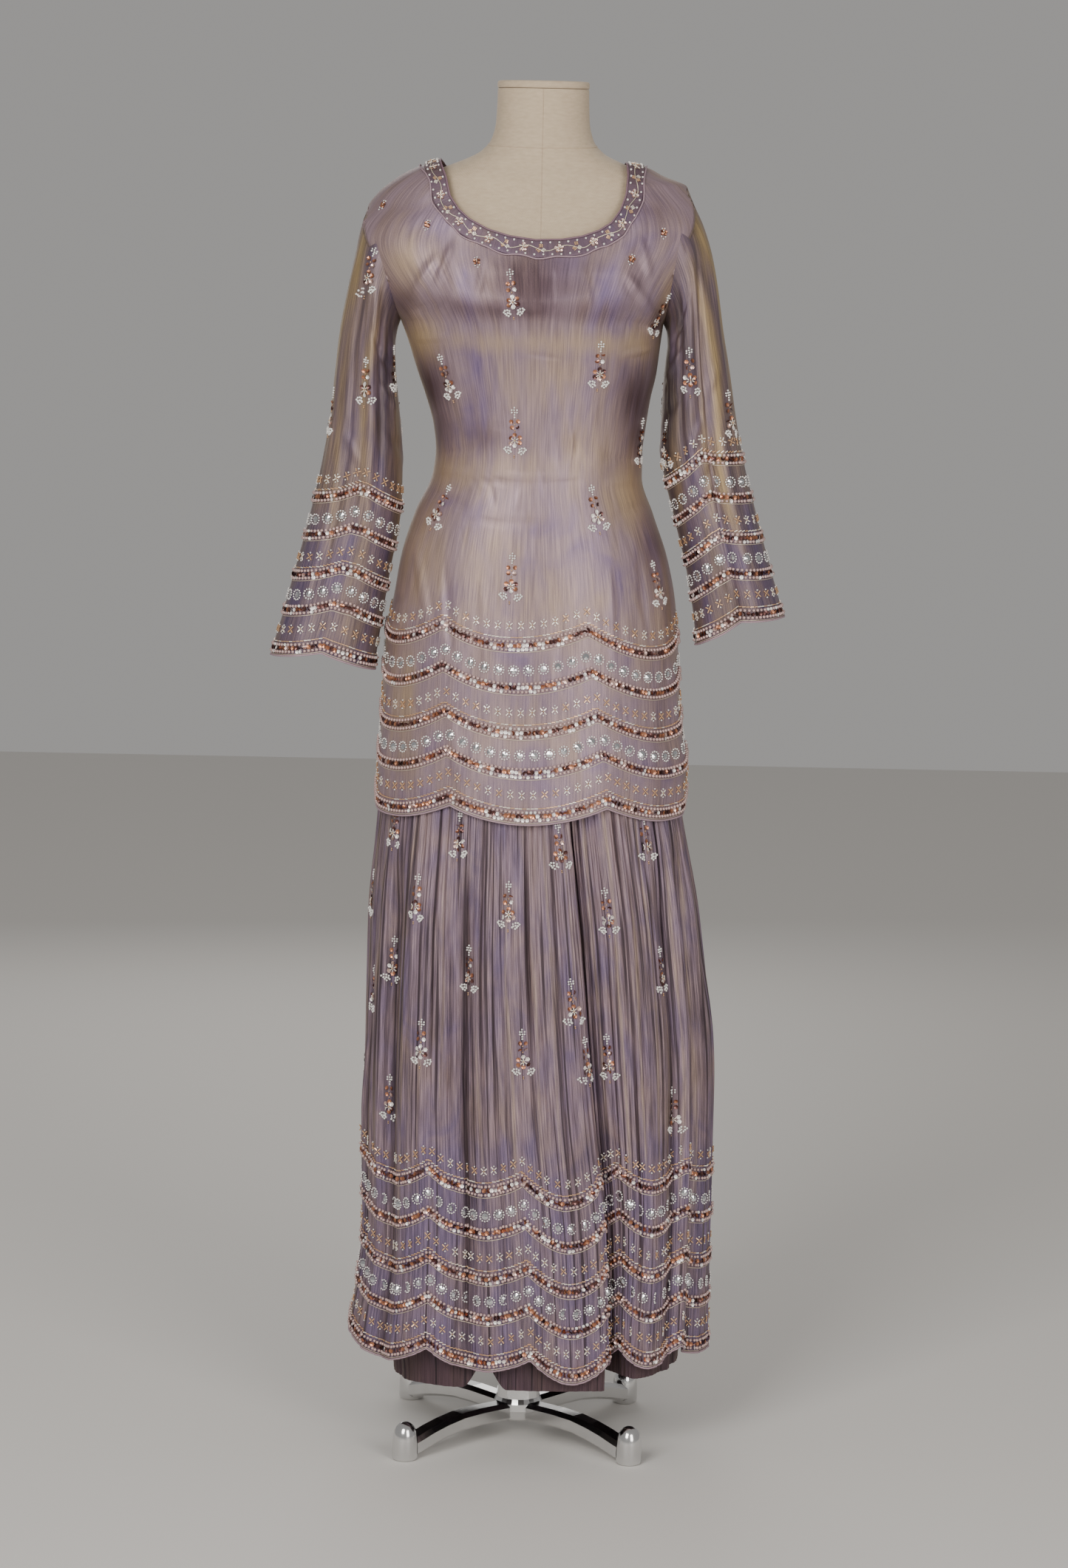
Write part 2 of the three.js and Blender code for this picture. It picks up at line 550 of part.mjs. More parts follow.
// A whole solid inside a grid of rings, closed flat at both ends
function filled(grid) {
  const count = grid[0].length;
  const points = grid.flat();
  const faces = [];
  for (let i = 0; i < grid.length - 1; i += 1) {
    for (let j = 0; j < count; j += 1) {
      const [a, b] = [i * count + j, i * count + ((j + 1) % count)];
      faces.push(a, b, b + count, a, b + count, a + count);
    }
  }
  for (const [row, turn] of [[0, 1], [grid.length - 1, -1]]) {
    const centre = grid[row].reduce((sum, p) => sum.add(p), new THREE.Vector3());
    points.push(centre.divideScalar(count));
    for (let j = 0; j < count; j += 1) {
      const [a, b] = [row * count + j, row * count + ((j + 1) % count)];
      faces.push(points.length - 1, turn > 0 ? b : a, turn > 0 ? a : b);
    }
  }
  return facingOut(points, faces);
}

// A ring's point through its twelve control points, place counted in control points
function ringPoint(ring, place) {
  const n = ring.length;
  const i = Math.floor(place);
  const t = place - i;
  const at = (k) => ring[(((i + k) % n) + n) % n];
  const blend = (c) => {
    const [a, b, d, e] = [at(-1)[c], at(0)[c], at(1)[c], at(2)[c]];
    return 0.5 * (2 * b + (d - a) * t + (2 * a - 5 * b + 4 * d - e) * t * t +
      (3 * b - 3 * d + e - a) * t ** 3);
  };
  return [blend(0), blend(1)];
}

// A value given at each of the twelve ring points, smooth between them
const ringValue = (values, place) => ringPoint(values.map((v) => [v, 0]), place)[0];

// The leg's ring of control points at a height
function legSection(rings, z) {
  return rings[0].ring.map((_, k) => [0, 1].map((c) =>
    tableValue(rings.map((r) => [r.z, r.ring[k][c]]), z, 1)));
}

// A leg's point before its thickness: place round the ring, height
function legPoint(rings, folds, place, z) {
  const section = legSection(rings, z);
  const [x, y] = ringPoint(section, place);
  const [ax, ay] = ringPoint(section, place - 0.05);
  const [bx, by] = ringPoint(section, place + 0.05);
  const length = Math.hypot(bx - ax, by - ay);
  const normal = [(by - ay) / length, -(bx - ax) / length];
  const centre = section.reduce((s, p) => [s[0] + p[0] / 12, s[1] + p[1] / 12], [0, 0]);
  const out = (x - centre[0]) * normal[0] + (y - centre[1]) * normal[1] > 0 ? 1 : -1;
  const down = (838 - z) / (838 - 120);
  const move = folds.reduce((sum, [top, hem, depth, half, start]) => {
    const at = lerp(top, hem, down);
    const apart = ((place - at + 18) % 12) - 6;
    return sum + depth * bump(apart / half) * ease((start - z) / LEG_FOLD_FADE);
  }, 0);
  return new THREE.Vector3(x + normal[0] * out * move, y + normal[1] * out * move, z);
}

// Height of a leg's hem at a place: low points between the peaks
function hemHeight(hem, place) {
  const peaks = hem.peaks;
  let i = peaks.findIndex((p) => p > place) - 1;
  if (i < -1) i = peaks.length - 1;
  const from = i < 0 ? peaks[peaks.length - 1] - 12 : peaks[i];
  const to = i + 1 < peaks.length ? peaks[i + 1] : peaks[0] + 12;
  const share = (place - from) / (to - from);
  return ringValue(hem.low, place) + hem.rise * (1 - scallop(clamp(share) * 0.9999));
}

// The grid of a leg, rows from the crotch to the scalloped hem
function legGrid(rings, folds, hem) {
  const grid = [];
  for (const height of [...LEG_ROW_HEIGHTS, null]) {
    const ring = [];
    for (let j = 0; j < LEG_COLUMNS; j += 1) {
      const place = (12 * j) / LEG_COLUMNS;
      const end = hemHeight(hem, place);
      const low = height === null ? 1 : ease((260 - height) / 140);
      const z = height === null ? end : height + (end - 118) * low * 0.6;
      ring.push(legPoint(rings, folds, place, z));
    }
    grid.push(ring);
  }
  return grid;
}

// A lining tube: its top hangs just inside the leg's wall, its hem stands further in
function liningGrid(rings, folds, lining) {
  const { place: at, half, rise } = lining.notch;
  const hang = (i, j, creases) => {
    const down = i / LINING_ROWS;
    const place = (12 * j) / LEG_COLUMNS;
    const end = lining.hem + ringValue(lining.waves, place) + rise * bump((place - at) / half);
    const z = lerp(lining.top, end, down);
    const soft = creases.map(([a, b, depth, wide, start]) =>
      [a, b, Math.min(0, depth) * (1 - 0.6 * down), wide, start]);
    return legPoint(rings, soft, place, Math.max(z, 120)).setZ(z);
  };
  const rows = [...Array(LINING_ROWS + 1).keys()];
  const columns = [...Array(LEG_COLUMNS).keys()];
  const plain = gridNormals(rows.map((i) => columns.map((j) => hang(i, j, []))), true);
  return rows.map((i) => columns.map((j) => {
    const far = ringValue(lining.inset, (12 * j) / LEG_COLUMNS);
    const inset = lerp(CLOTH + LINING_GAP, far, ease(i / LINING_ROWS));
    const n = plain[i][j].clone().setZ(0).normalize();
    return hang(i, j, folds).addScaledVector(n, -inset);
  }));
}

// A turned solid from a profile of radius and height, standing on z
function turned(profile, segments) {
  const points = profile.map(([r, z]) => new THREE.Vector2(r, z));
  return new THREE.LatheGeometry(points, segments).rotateX(Math.PI / 2);
}

// A turned or built shape as a solid that can be joined and cut
function solid(geometry) {
  const bare = new THREE.BufferGeometry();
  bare.setAttribute("position", geometry.getAttribute("position"));
  if (geometry.index) bare.setIndex(geometry.index);
  const merged = mergeVertices(bare, 1e-4);
  const index = [];
  const source = merged.index.array;
  for (let i = 0; i < source.length; i += 3) {
    const [a, b, c] = [source[i], source[i + 1], source[i + 2]];
    if (a !== b && b !== c && a !== c) index.push(a, b, c);
  }
  const made = new manifold.Manifold(new manifold.Mesh({
    numProp: 3,
    vertProperties: merged.attributes.position.array,
    triVerts: new Uint32Array(index),
  }));
  if (made.volume() >= 0) return made;
  for (let i = 0; i < index.length; i += 3) [index[i + 1], index[i + 2]] = [index[i + 2], index[i + 1]];
  return new manifold.Manifold(new manifold.Mesh({
    numProp: 3,
    vertProperties: merged.attributes.position.array,
    triVerts: new Uint32Array(index),
  }));
}

// A joined or cut solid back as a geometry
function geometryOf(made) {
  const { vertProperties, triVerts } = made.getMesh();
  const geometry = new THREE.BufferGeometry();
  geometry.setAttribute("position", new THREE.BufferAttribute(new Float32Array(vertProperties), 3));
  geometry.setIndex([...triVerts]);
  geometry.computeVertexNormals();
  return geometry;
}

// One arm of the base, its flat-sided section carried along the arched path
function arm(angle) {
  const grid = ARM_PATH.map(([reach, z], i) => {
    const before = ARM_PATH[Math.max(0, i - 1)];
    const after = ARM_PATH[Math.min(ARM_PATH.length - 1, i + 1)];
    const slope = Math.atan2(after[1] - before[1], after[0] - before[0]);
    return ARM_SECTION.map(([side, up]) => {
      const r = reach - up * Math.sin(slope);
      return new THREE.Vector3(
        r * Math.cos(angle) - side * Math.sin(angle),
        r * Math.sin(angle) + side * Math.cos(angle),
        z + up * Math.cos(slope),
      );
    });
  });
  return filled(grid);
}

// The cast base: hub and four arms in one, cut back clear of the feet
function baseCasting(footPlaces) {
  let made = solid(turned(HUB, 24));
  for (const [x, y] of footPlaces) made = made.add(solid(arm(Math.atan2(y, x))));
  const room = FOOT.map(([r, z], i) => [i === 0 || i === FOOT.length - 1 ? 0 : r + SEAM_GAP + 0.2,
    z + (z > 30 ? 0.5 : z === 0 ? -1 : 0)]);
  for (const [x, y] of footPlaces) {
    made = made.subtract(solid(turned(room, 20).translate(x, y, 0)));
    made = made.subtract(beyondFoot(x, y));
  }
  return geometryOf(made);
}

// A block on the far side of a foot, which takes off what an arm would leave there
function beyondFoot(x, y) {
  const block = new THREE.BoxGeometry(40, 60, 80).translate(20, 0, 40);
  block.rotateZ(Math.atan2(y, x));
  return solid(block.translate(x, y, 0));
}

// The named meshes
const suit = new THREE.Group();
function place(name, geometry, colour, rough = 0.6, metal = 0) {
  const material = new THREE.MeshStandardMaterial({ color: colour, roughness: rough, metalness: metal });
  material.name = name;
  const mesh = new THREE.Mesh(geometry, material);
  mesh.name = name;
  suit.add(mesh);
}

const SILK = 0x8d7f95;
const CRINKLED = 0x85788c;
const front = kurtiPanel("front");
const back = kurtiPanel("back");
place("kurti_front", shell(front.grid, CLOTH, false, front.normals), SILK);
place("kurti_back", shell(back.grid, CLOTH, false, back.normals), SILK);
place("sleeve_right", sleeve(SLEEVE_RIGHT, "left", front, back), SILK);
place("sleeve_left", sleeve(SLEEVE_LEFT, "right", front, back), SILK);
place("neck_band", neckBand(front, back), 0xa58f92);

place("leg_right", shell(legGrid(LEG_RIGHT, LEG_FOLDS.right, LEG_HEM.right), CLOTH, true), CRINKLED);
place("leg_left", shell(legGrid(LEG_LEFT, LEG_FOLDS.left, LEG_HEM.left), CLOTH, true), CRINKLED);
place("lining_right", shell(liningGrid(LEG_RIGHT, LEG_FOLDS.right, LINING.right), CLOTH, true), 0x74697c);
place("lining_left", shell(liningGrid(LEG_LEFT, LEG_FOLDS.left, LINING.left), CLOTH, true), 0x74697c);
place("hip_yoke", shell(ovalGrid(YOKE, 40, ROUND), CLOTH, true), CRINKLED);

const bandRows = [WAISTBAND.high, WAISTBAND.low]
  .map((z) => formOval(z, WAISTBAND.gap + WAISTBAND.thick));
place("waistband", shell(ovalGrid(bandRows, FORM_COLUMNS, FORM_ROUND), WAISTBAND.thick, true), CRINKLED);

const formRows = FORM.map(([z]) => formOval(z, 0));
place("form_body", filled(ovalGrid(formRows, FORM_COLUMNS, FORM_ROUND)), 0xb8a688, 0.8);
const { half, depth, low, high, edge } = NECK_CAP;
const capRows = [[low, half, half, depth, depth], [high - edge, half, half, depth, depth],
  [high, half - edge, half - edge, depth - edge, depth - edge]];
place("neck_cap", filled(ovalGrid(capRows, FORM_COLUMNS, 1)), 0xb8a688, 0.8);

const METAL = 0xb9bcc0;
const poleProfile = [[0, POLE.low], [POLE.radius, POLE.low], [POLE.radius, POLE.high], [0, POLE.high]];
place("pole", geometryOf(solid(turned(poleProfile, 24))), METAL, 0.3, 1);
const reach = FOOT_REACH / Math.SQRT2;
const footPlaces = [[-reach, -reach], [reach, -reach], [reach, reach], [-reach, reach]];
place("base_casting", baseCasting(footPlaces), METAL, 0.3, 1);
const FOOT_NAMES = ["foot_front_right", "foot_front_left", "foot_back_left", "foot_back_right"];
footPlaces.forEach(([x, y], i) => {
  place(FOOT_NAMES[i], geometryOf(solid(turned(FOOT, 16).translate(x, y, 0))), METAL, 0.3, 1);
});

export default suit;
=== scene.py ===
import math
import bmesh
import bpy
import numpy as np
from mathutils import Matrix, Vector


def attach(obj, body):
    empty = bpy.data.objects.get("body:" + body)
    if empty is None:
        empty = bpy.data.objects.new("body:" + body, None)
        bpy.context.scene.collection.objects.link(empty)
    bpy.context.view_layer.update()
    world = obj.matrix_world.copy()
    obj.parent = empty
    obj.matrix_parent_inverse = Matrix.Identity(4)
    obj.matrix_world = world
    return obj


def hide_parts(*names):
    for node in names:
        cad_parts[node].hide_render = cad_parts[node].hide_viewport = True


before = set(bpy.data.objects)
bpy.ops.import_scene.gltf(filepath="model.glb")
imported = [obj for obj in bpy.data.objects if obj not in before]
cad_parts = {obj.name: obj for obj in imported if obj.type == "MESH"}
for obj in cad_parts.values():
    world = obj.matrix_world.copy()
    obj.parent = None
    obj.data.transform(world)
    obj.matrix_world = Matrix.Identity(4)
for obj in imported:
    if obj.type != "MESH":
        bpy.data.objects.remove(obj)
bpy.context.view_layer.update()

# The suit in the CAD model's frame: lengths here are in millimetres, and meshes are made in metres.
MM = 0.001
RNG = np.random.default_rng(11)

# Camera at the photo's angle: place in metres, degrees down and rolled, lens and sensor in mm
CAMERA_AT = (0.0047, -5.195, 1.507)
PITCH_DOWN, ROLL = 7.95, 1.13
LENS, SENSOR = 102.55, 36.0

# Garment torso: height, left and right half widths, front and back depths
TORSO = np.array([
    [745, 181, 181, 128, 132], [808, 179, 184, 125, 130], [859, 176, 176, 121, 128],
    [910, 174, 172, 118, 127], [961, 171, 169, 115, 125], [1002, 163, 165, 112, 121],
    [1050, 155, 155, 108, 112], [1102, 139, 137, 102, 97], [1145, 120, 123, 97, 84],
    [1173, 117, 123, 96, 82], [1201, 120, 126, 98, 84], [1236, 130, 131, 102, 87],
    [1264, 140, 137, 106, 90], [1298, 151, 141, 113, 94], [1322, 160, 144, 118, 96],
    [1338, 165, 146.5, 120, 97], [1380, 178.1, 152.9, 109, 98], [1400, 184.4, 156, 101, 97],
    [1420, 190.6, 159, 93, 95], [1450, 200, 163.6, 83, 90], [1456, 197, 164.5, 80, 88],
    [1470, 185, 166.6, 76, 84], [1479, 174, 168, 74, 81], [1492, 154, 139, 70, 76],
    [1502, 128, 118, 67, 70], [1505, 117, 97, 66, 68]])
ARMHOLE = {"left": (-200, 1450, -160, 1322, 62), "right": (168, 1479, 144, 1322, 62)}
ROUND, MID_X = 0.9, -4.0
# Half girth of each panel in metres, for its texture coordinates
KURTI_GIRTH = {"front": 0.47, "back": 0.48}
SHOULDER_ROWS, ARMHOLE_ROWS, SIDE_ROWS = 3, 8, 10
PANEL_ROWS = SHOULDER_ROWS + ARMHOLE_ROWS + SIDE_ROWS
NECK = {
    "front": np.array([
        [-117, 1505, -136, 1499.5], [-109, 1486, -129, 1481], [-104, 1465, -123, 1457],
        [-94, 1450, -108, 1435], [-81, 1439, -91, 1421.5], [-60, 1428, -66.5, 1409],
        [-36, 1421, -39.5, 1401], [-6, 1417, -6, 1397], [24, 1418, 26, 1398],
        [47, 1422, 52.5, 1402.5], [66, 1429, 75.5, 1411.5], [80, 1438, 94.5, 1424.5],
        [90, 1452, 108, 1443], [96, 1469, 115.5, 1465], [98, 1490, 118, 1488],
        [97, 1505, 117.5, 1502.2]]),
    "back": np.array([
        [-117, 1505, -136, 1499.5], [-108, 1492, -125, 1477.5], [-94, 1481, -106, 1463],
        [-70, 1472, -77, 1453], [-36, 1467, -39, 1447], [-6, 1465, -6, 1445],
        [24, 1466, 26, 1446], [52, 1471, 57.5, 1452], [76, 1480, 88, 1463.5],
        [90, 1491, 107.5, 1480], [97, 1505, 117.5, 1502.2]]),
}
HEM_LOBES, HEM_RISE, HEM_LOW = 3, 18, 751
PANEL_DROP = {"front": 60, "back": 40}

# Long soft folds of a kurti panel: place across, depth, half width, height where it ends
KURTI_FOLDS = {
    "front": [(0.1, 3, 0.07, 960), (0.3, -3, 0.09, 930), (0.5, 3, 0.12, 900),
              (0.72, -3, 0.09, 930), (0.9, 4, 0.06, 1000)],
    "back": [(0.12, 5, 0.08, 1000), (0.32, -5, 0.09, 960), (0.5, 5, 0.1, 940),
             (0.68, -5, 0.08, 970), (0.88, 5, 0.07, 1000)],
}

# Creases of a kurti panel: x and height of both ends, half width, depth (minus is a groove)
KURTI_CREASES = {
    "front": [
        (-150, 1345, -112, 1405, 9, 2.6), (-155, 1330, -100, 1350, 8, -2.2),
        (-150, 1300, -96, 1308, 8, 1.8), (134, 1330, 96, 1385, 9, 2.4),
        (138, 1318, 84, 1332, 8, -2.0), (136, 1296, 92, 1288, 7, 1.6),
        (-120, 1168, -62, 1182, 6, -1.8), (-118, 1152, -70, 1150, 6, 1.6),
        (-126, 1128, -74, 1112, 7, -1.8), (122, 1164, 70, 1176, 6, -1.8),
        (124, 1146, 72, 1140, 6, 1.6), (132, 1120, 84, 1100, 7, -1.6),
        (-92, 1139, -20, 1143, 3.5, -1.1), (-26, 1141, 63, 1144, 3.2, -1.2), (-98, 1097, 39, 1095, 4, -0.8),
        (-60, 1148, 60, 1150, 3.5, 0.6), (-58, 1206, -34, 1204, 3.5, -0.8), (-34, 1228, -30, 1206, 3, -1.2),
        (20, 1215, 26, 1150, 5, -0.9), (34, 1222, 48, 1150, 5, 0.9), (48, 1212, 40, 1140, 4, -0.9),
        (2, 1168, 14, 1118, 5, -0.9), (-52, 1140, -46, 1110, 5, -0.8), (-18, 1136, -24, 1106, 5, 0.8),
        (-140, 1080, -118, 960, 9, 2.0), (-104, 1060, -92, 930, 8, -1.6),
        (-58, 1040, -50, 900, 10, 1.4), (30, 1010, 34, 890, 10, -1.2),
        (86, 1060, 94, 930, 8, 1.8), (118, 1080, 132, 960, 8, -1.8),
        (142, 1050, 154, 930, 7, 1.8), (-30, 1392, -26, 1340, 8, 1.0),
        (12, 1394, 16, 1336, 8, -1.0), (48, 1396, 58, 1340, 8, 1.0),
        (-62, 1398, -72, 1346, 8, -1.0), (-96, 1420, -120, 1360, 8, 1.6),
        (110, 1430, 128, 1370, 8, 1.6), (-20, 1290, 30, 1284, 5, -0.7),
        (20, 900, 24, 800, 12, 1.2), (-90, 880, -86, 790, 12, 1.4)],
    "back": [
        (-150, 1345, -108, 1400, 9, 2.4), (-152, 1326, -96, 1340, 8, -2.0),
        (134, 1330, 92, 1390, 9, 2.4), (136, 1312, 84, 1322, 8, -2.0),
        (-118, 1166, -52, 1178, 6, -1.8), (-120, 1146, -60, 1140, 6, 1.8),
        (120, 1164, 58, 1178, 6, -1.8), (122, 1142, 62, 1134, 6, 1.8),
        (-60, 1160, 60, 1158, 5, -1.4), (-70, 1130, 64, 1128, 5, 1.4),
        (-120, 1070, -106, 940, 9, 1.8), (-66, 1050, -58, 900, 9, -1.8),
        (-10, 1060, -6, 920, 9, 1.6), (52, 1050, 60, 900, 9, -1.8),
        (112, 1070, 122, 940, 9, 1.8), (-40, 1400, -34, 1300, 9, 1.2),
        (30, 1400, 26, 1300, 9, -1.2)],
}

# Sleeves: outer x and z, inner x and z, half depth, middle y; the first row is the armhole
SLEEVE_RIGHT = np.array([
    [-200, 1450, -160, 1322, 62, 0], [-208, 1425, -164, 1308, 62, 0],
    [-214, 1394, -166, 1290, 62, -1], [-222, 1355, -165, 1266, 61, -2],
    [-230, 1310, -162, 1236, 60, -4], [-235, 1262, -158, 1200, 58, -6],
    [-240, 1210, -155, 1160, 56, -8], [-248, 1160, -155, 1118, 54, -10],
    [-258, 1112, -159, 1077, 52, -11], [-269, 1066, -166, 1040, 51, -12],
    [-281, 1022, -172, 1004, 50, -12], [-292, 982, -178, 966, 50, -12],
    [-300, 957, -182, 940, 50, -12], [-305, 937, -184, 922, 50, -12]], float)
SLEEVE_LEFT = np.array([
    [168, 1479, 144, 1322, 62, 0], [176, 1460, 148, 1312, 62, 0],
    [187, 1437, 149, 1298, 62, -1], [198, 1404, 147, 1276, 61, -2],
    [206, 1365, 145, 1248, 60, -4], [213, 1318, 144, 1214, 58, -6],
    [222, 1268, 143, 1178, 56, -8], [230, 1218, 150, 1142, 54, -10],
    [240, 1168, 159, 1108, 52, -11], [252, 1122, 168, 1074, 51, -12],
    [264, 1080, 177, 1040, 50, -12], [276, 1042, 184, 1006, 50, -12],
    [285, 1015, 188, 980, 50, -12], [292, 993, 190, 958, 50, -12]], float)
CUFF_LOBES, CUFF_RISE = 2, 14

# Long folds of a sleeve: turn in degrees at the top and at the cuff, depth, half width
SLEEVE_LONG = {
    "right": [(70, 84, -5, 34), (262, 285, -5, 36)],
    "left": [(52, 108, -8, 34), (285, 262, -6, 36)],
}
# Smaller folds: turn in degrees at the top and at the cuff, first and last ring, half width, depth
SLEEVE_FOLDS = {
    "right": [
        (58, 66, 0.6, 12.5, 10, -2.0), (96, 100, 0.4, 9.0, 12, 3.0), (120, 112, 0.5, 8.0, 10, -3.0),
        (148, 140, 0.8, 6.5, 12, 2.6), (30, 34, 1.0, 11.0, 14, 2.2), (215, 220, 0.5, 9.0, 14, -3.0),
        (250, 252, 0.6, 12.0, 14, 2.8), (285, 280, 0.5, 10.0, 14, -3.2), (325, 320, 1.0, 11.0, 14, 2.2)],
    "left": [
        (46, 98, 1.5, 14.0, 9, -3.0), (70, 84, 0.8, 9.0, 8, 3.0), (112, 120, 0.5, 9.0, 10, -3.0),
        (140, 132, 0.6, 7.5, 12, 3.2), (28, 40, 1.0, 11.0, 10, 2.4), (84, 74, 3.0, 9.5, 7, -2.2),
        (215, 220, 0.5, 9.0, 14, -3.0),
        (250, 252, 0.6, 12.0, 14, 2.8), (285, 280, 0.5, 10.0, 14, -3.2), (325, 320, 1.0, 11.0, 14, 2.2)],
}
# Short cross creases of a sleeve: turn, ring, how far round, half height in rings, depth
SLEEVE_CREASES = {
    "right": [(120, 3.2, 40, 0.35, -2.0), (135, 4.4, 34, 0.3, 1.8), (150, 5.6, 40, 0.35, -1.8),
              (70, 6.4, 26, 0.25, 1.2), (110, 7.3, 26, 0.3, -1.4), (230, 4.0, 40, 0.35, -1.8),
              (210, 6.2, 40, 0.35, 1.8), (300, 7.5, 30, 0.3, -1.4)],
    "left": [(115, 2.6, 40, 0.35, -2.2), (130, 3.8, 40, 0.35, 2.0), (140, 5.2, 40, 0.35, -2.2),
             (100, 6.6, 30, 0.3, 1.8), (80, 7.6, 26, 0.3, -1.6), (60, 5.8, 26, 0.3, 1.4),
             (230, 4.0, 40, 0.35, -1.8), (210, 6.2, 40, 0.35, 1.8), (300, 7.5, 30, 0.3, -1.4)],
}

# Trouser legs: height, then twelve ring points from the inner front edge round the outside
LEG_RINGS = {
    "right": [
        (838, [[33, -109], [0, -111.5], [-45, -107.5], [-95, -92.5], [-140, -63.5], [-168, -6],
               [-151, 58], [-105, 94], [-45, 115], [14, 119], [27, 40], [31, -42]]),
        (760, [[44, -117], [5, -120.5], [-45, -117.5], [-97, -103], [-146, -71], [-174, -8],
               [-157, 62], [-108, 102], [-45, 122], [15, 123], [32, 42], [32, -46]]),
        (620, [[60, -125], [12, -132], [-45, -130], [-102, -117], [-156, -80], [-185, -10],
               [-168, 66], [-112, 112], [-48, 128], [5, 126], [34, 38], [46, -56]]),
        (430, [[79, -132], [25, -139], [-38, -138], [-102, -125], [-160, -86], [-187, -12],
               [-170, 68], [-115, 116], [-54, 132], [-9, 124], [34, 32], [58, -65]]),
        (260, [[98, -132], [42, -143], [-28, -142], [-98, -129], [-158, -92], [-185, -14],
               [-170, 68], [-118, 120], [-55, 135], [-14, 124], [36, 26], [68, -73]]),
        (120, [[105, -131], [50, -148], [-22, -146], [-98, -137], [-168, -102], [-202, -20],
               [-182, 72], [-122, 126], [-55, 138], [-20, 120], [36, 18], [74, -81]])],
    "left": [
        (838, [[44, -106], [84, -96], [121, -75], [149, -44], [165.5, -2], [157, 43],
               [132, 78], [96, 99], [62, 109], [28, 116], [37, 40], [43, -40]]),
        (760, [[48, -98], [92, -103], [133, -83], [162, -50], [176, -2], [164, 46],
               [136, 80], [98, 102], [60, 113], [27, 118], [41, 42], [46, -46]]),
        (620, [[63, -98], [110, -113], [152, -96], [187, -60], [202, -5], [190, 52],
               [158, 95], [112, 120], [62, 130], [16, 127], [41, 38], [56, -54]]),
        (430, [[80, -100], [125, -119], [168, -99], [204, -62], [220, -4], [206, 58],
               [170, 102], [118, 128], [63, 136], [12, 130], [45, 33], [70, -62]]),
        (260, [[96, -99], [134, -121], [170, -106], [206, -68], [220, -5], [208, 60],
               [172, 106], [120, 132], [62, 140], [2, 132], [44, 24], [80, -68]]),
        (120, [[102, -97], [132, -123], [168, -114], [203, -78], [221, -10], [210, 60],
               [176, 110], [122, 136], [62, 144], [-3, 132], [45, 16], [86, -73]])],
}
# Folds of a leg: place at the top, place at the hem, depth, half width, height where it starts
LEG_FOLDS = {
    "right": [
        (0.5, 0.5, -5, 0.4, 420), (1.5, 1.5, 5, 0.5, 740), (2.5, 2.5, -11, 0.4, 700),
        (3.25, 3.25, 4, 0.4, 700), (4, 4, -11, 0.38, 730), (4.75, 4.75, 5, 0.4, 500),
        (5.5, 5.5, -11, 0.4, 730), (6.5, 6.5, -12, 0.4, 700), (7.25, 7.25, -11, 0.4, 730),
        (8.25, 8.25, -10, 0.4, 700), (9.25, 9.25, -4, 0.5, 600), (10, 10, -6, 0.4, 500)],
    "left": [
        (1.5, 1.5, 4, 0.4, 700), (2.25, 2.25, -9, 0.4, 730), (3, 3, -13, 0.38, 740),
        (3.75, 3.75, 5, 0.4, 600), (4.5, 4.5, -12, 0.4, 730), (5.25, 5.25, -12, 0.4, 700),
        (6.25, 6.25, -12, 0.4, 730), (7.25, 7.25, -12, 0.4, 700), (8.25, 8.25, -11, 0.4, 730),
        (9.25, 9.25, -4, 0.5, 600), (10, 10, -6, 0.4, 500)],
}
LEG_FADE = 110
LEG_PLACES, LEG_TOP, LEG_FOOT = 12, 838, 120
LEG_HEM = {
    "right": ([0.05, 1.52, 3.12, 5.0, 7.1, 9.3], 24,
              [99, 97, 108, 110, 112, 122, 118, 112, 110, 110, 106, 101]),
    "left": ([0.55, 2.6, 4.6, 6.8, 9.0, 10.6], 20,
             [114, 112, 113, 112, 116, 120, 118, 114, 112, 112, 112, 114]),
}
